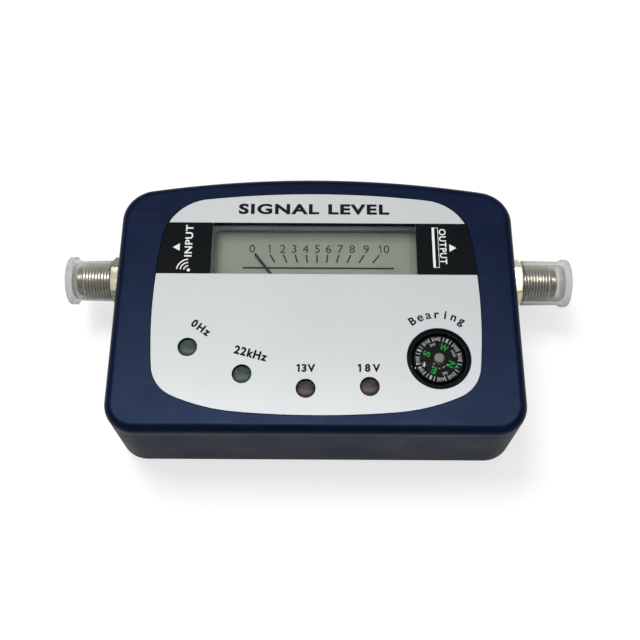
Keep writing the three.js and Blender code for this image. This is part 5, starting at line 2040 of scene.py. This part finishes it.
    def cap(self) -> BMesh:
        """Turn the push-on dust cap with its soft flare into the end flange.

        Returns:
            The cap, upright.
        """
        end, bore, flange = self.cap_end, self.cap_bore, self.cap_flange
        mouth, flange_start = end - self.cap_length, end - self.cap_flange_thickness
        floor, floor_round = end - self.cap_end_thickness, 0.3
        steps, flare, corner_steps, corner, soft = 8, 1.3, 5, 0.5, 0.08
        run = []
        for share in (index / steps for index in range(steps)):
            widened = (flange - self.cap_tube) * (1 - math.cos(QUARTER * share))
            run.append((self.cap_tube + widened, flange_start - flare * (1 - share)))
        rounded = []
        for angle in (QUARTER * index / corner_steps for index in range(corner_steps + 1)):
            inset, drop = corner * (1 - math.cos(angle)), corner * (1 - math.sin(angle))
            rounded.append((flange - inset, end - drop))
        lip = self.cap_tube + 0.15
        return turned([
            (0, floor), (bore - floor_round, floor), (bore, floor - floor_round), (bore, mouth + soft),
            (bore + soft, mouth), (lip - soft, mouth), (lip, mouth + soft), *run,
            (flange, flange_start), *rounded, (0, end),
        ], 80)


@dataclass
class Inside:
    """The circuit board, its parts and the level control, whose CAD shapes stay."""

    def build(self) -> None:
        """Give each node its finish."""
        refinish(BOARD, "circuit_board")
        refinish(STEEL, "board_screw_left", "board_screw_right", "board_screw_near")
        refinish(BLACK_PLASTIC, "amplifier_chip", "smoothing_capacitor", "level_pot")
        refinish(MAGNET, "bypass_choke")
        refinish(KNOB_PLASTIC, "level_wheel")


@dataclass
class Studio:
    """The floor, the lights and the camera."""

    lens: float = 47.64
    sensor: float = 36.0
    elevation: float = 68.3
    roll: float = 0.322
    camera_place: Place = (0.405, -83.65, 220.65)
    nearest: float = 0.01
    farthest: float = 50.0
    horizon: float = 1.0
    zenith: float = 0.2
    sky_from: float = 0.02
    sky_to: float = 0.14
    matt_fill: float = 0.3
    floor_size: float = 8.0
    floor_drop: float = 0.00005
    floor_paint: float = 0.4
    floor_glow: float = 0.65

    def build_camera(self) -> None:
        """Stand the camera where the photograph's stood."""
        data = bpy.data.cameras.new("camera")
        data.lens = self.lens
        data.sensor_width = self.sensor
        data.clip_start, data.clip_end = self.nearest, self.farthest
        camera = bpy.data.objects.new("camera", data)
        bpy.context.scene.collection.objects.link(camera)
        place = Matrix.Translation(Vector(self.camera_place) * MM)
        tilt = Matrix.Rotation(math.radians(90 - self.elevation), 4, "X")
        camera.matrix_world = place @ tilt @ Matrix.Rotation(math.radians(self.roll), 4, "Z")
        bpy.context.scene.camera = camera

    def build_world(self) -> None:
        """Light the surroundings from the horizon up, with more for matt surfaces."""
        world = bpy.data.worlds.new("studio")
        bpy.context.scene.world = world
        world.use_nodes = True
        bench = Bench(world.node_tree)
        background = world.node_tree.nodes["Background"]
        direction = bench.put("TexCoord").outputs["Generated"]
        height = bench.parted(direction)["Z"]
        overhead = bench.spread(height, self.horizon, self.zenith, self.sky_from, self.sky_to)
        fill = bench.put("LightPath").outputs["Is Diffuse Ray"]
        tone = bench.maths("MULTIPLY_ADD", fill, self.matt_fill, overhead)
        bench.tree.links.new(tone, background.inputs["Strength"])
        background.inputs["Color"].default_value = (1, 1, 1, 1)

    def build_floor(self) -> None:
        """Lay a plain pale floor that keeps the object's shadow."""
        bm = bmesh.new()
        bmesh.ops.create_grid(bm, x_segments=1, y_segments=1, size=self.floor_size / 2)
        bmesh.ops.translate(bm, vec=(0, 0, -self.floor_drop), verts=bm.verts)
        mesh = bpy.data.meshes.new("floor")
        bm.to_mesh(mesh)
        bm.free()
        floor = bpy.data.objects.new("floor", mesh)
        bpy.context.scene.collection.objects.link(floor)
        made = bpy.data.materials.new("pale_floor")
        made.use_nodes = True
        bench = Bench(made.node_tree)
        shader = made.node_tree.nodes["Principled BSDF"]
        shader.inputs["Roughness"].default_value = 0.9
        shader.inputs["Specular IOR Level"].default_value = 0.1
        shader.inputs["Base Color"].default_value = (*[self.floor_paint] * 3, 1)
        rays = bench.put("LightPath").outputs
        seen = bench.maths("MAXIMUM", rays["Is Camera Ray"], rays["Is Glossy Ray"])
        seen = bench.maths("MAXIMUM", seen, rays["Is Transmission Ray"])
        glow = bench.put("Emission", {"Strength": bench.maths("MULTIPLY", seen, self.floor_glow)})
        whole = bench.put("AddShader", {0: shader.outputs["BSDF"], 1: glow.outputs["Emission"]})
        output = bench.tree.nodes["Material Output"]
        bench.tree.links.new(whole.outputs["Shader"], output.inputs["Surface"])
        mesh.materials.append(made)

    def build_light(self, name: str, place: Place, size: Point, watts: float) -> Object:
        """Hang one soft light that looks at the object, with its width along X.

        Args:
            name: The light's name.
            place: Where it hangs, in metres.
            size: Its width and height, in metres.
            watts: Its power.

        Returns:
            The light.
        """
        data = bpy.data.lights.new(name, "AREA")
        data.shape = "RECTANGLE"
        data.size, data.size_y = size
        data.energy = watts
        light = bpy.data.objects.new(name, data)
        bpy.context.scene.collection.objects.link(light)
        back = Vector(place).normalized()
        side = Vector((0, 1, 0)).cross(back).normalized()
        turn = Matrix((side, back.cross(side), back)).transposed().to_4x4()
        light.matrix_world = Matrix.Translation(place) @ turn
        return light

    def build(self) -> None:
        """Set up the studio."""
        self.build_world()
        self.build_floor()
        key = self.build_light("key_light", (-0.22, 0.3, 0.8), (0.34, 0.34), 5.4)
        key.visible_glossy = False
        sheen = self.build_light("sheen_light", (-0.06, 0.07, 0.8), (0.8, 0.12), 13.8)
        sheen.visible_diffuse = False
        bpy.context.scene.view_settings.view_transform = "Standard"
        LOG.info("studio ready")


def main() -> None:
    """Build the camera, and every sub-assembly and the studio."""
    logging.basicConfig(level=logging.INFO, format="%(name)s: %(message)s")
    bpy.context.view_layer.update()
    studio = Studio()
    studio.build_camera()
    plate = FacePlate()
    Housing().build(plate)
    plate.build()
    Dial().build()
    Lamps().build()
    Compass().build()
    # the left nut takes the darker nickel, whose darker colour is painted shade
    Connector("left", 65.95, 11.35, 5.3, nut_turn=2.5, nut_finish=DULL_SHADED_NICKEL).build()
    Connector("right", 67.0, 12.1, 5.85, nut_turn=7.5).build()
    Inside().build()
    studio.build()


if __name__ == "__main__":
    main()
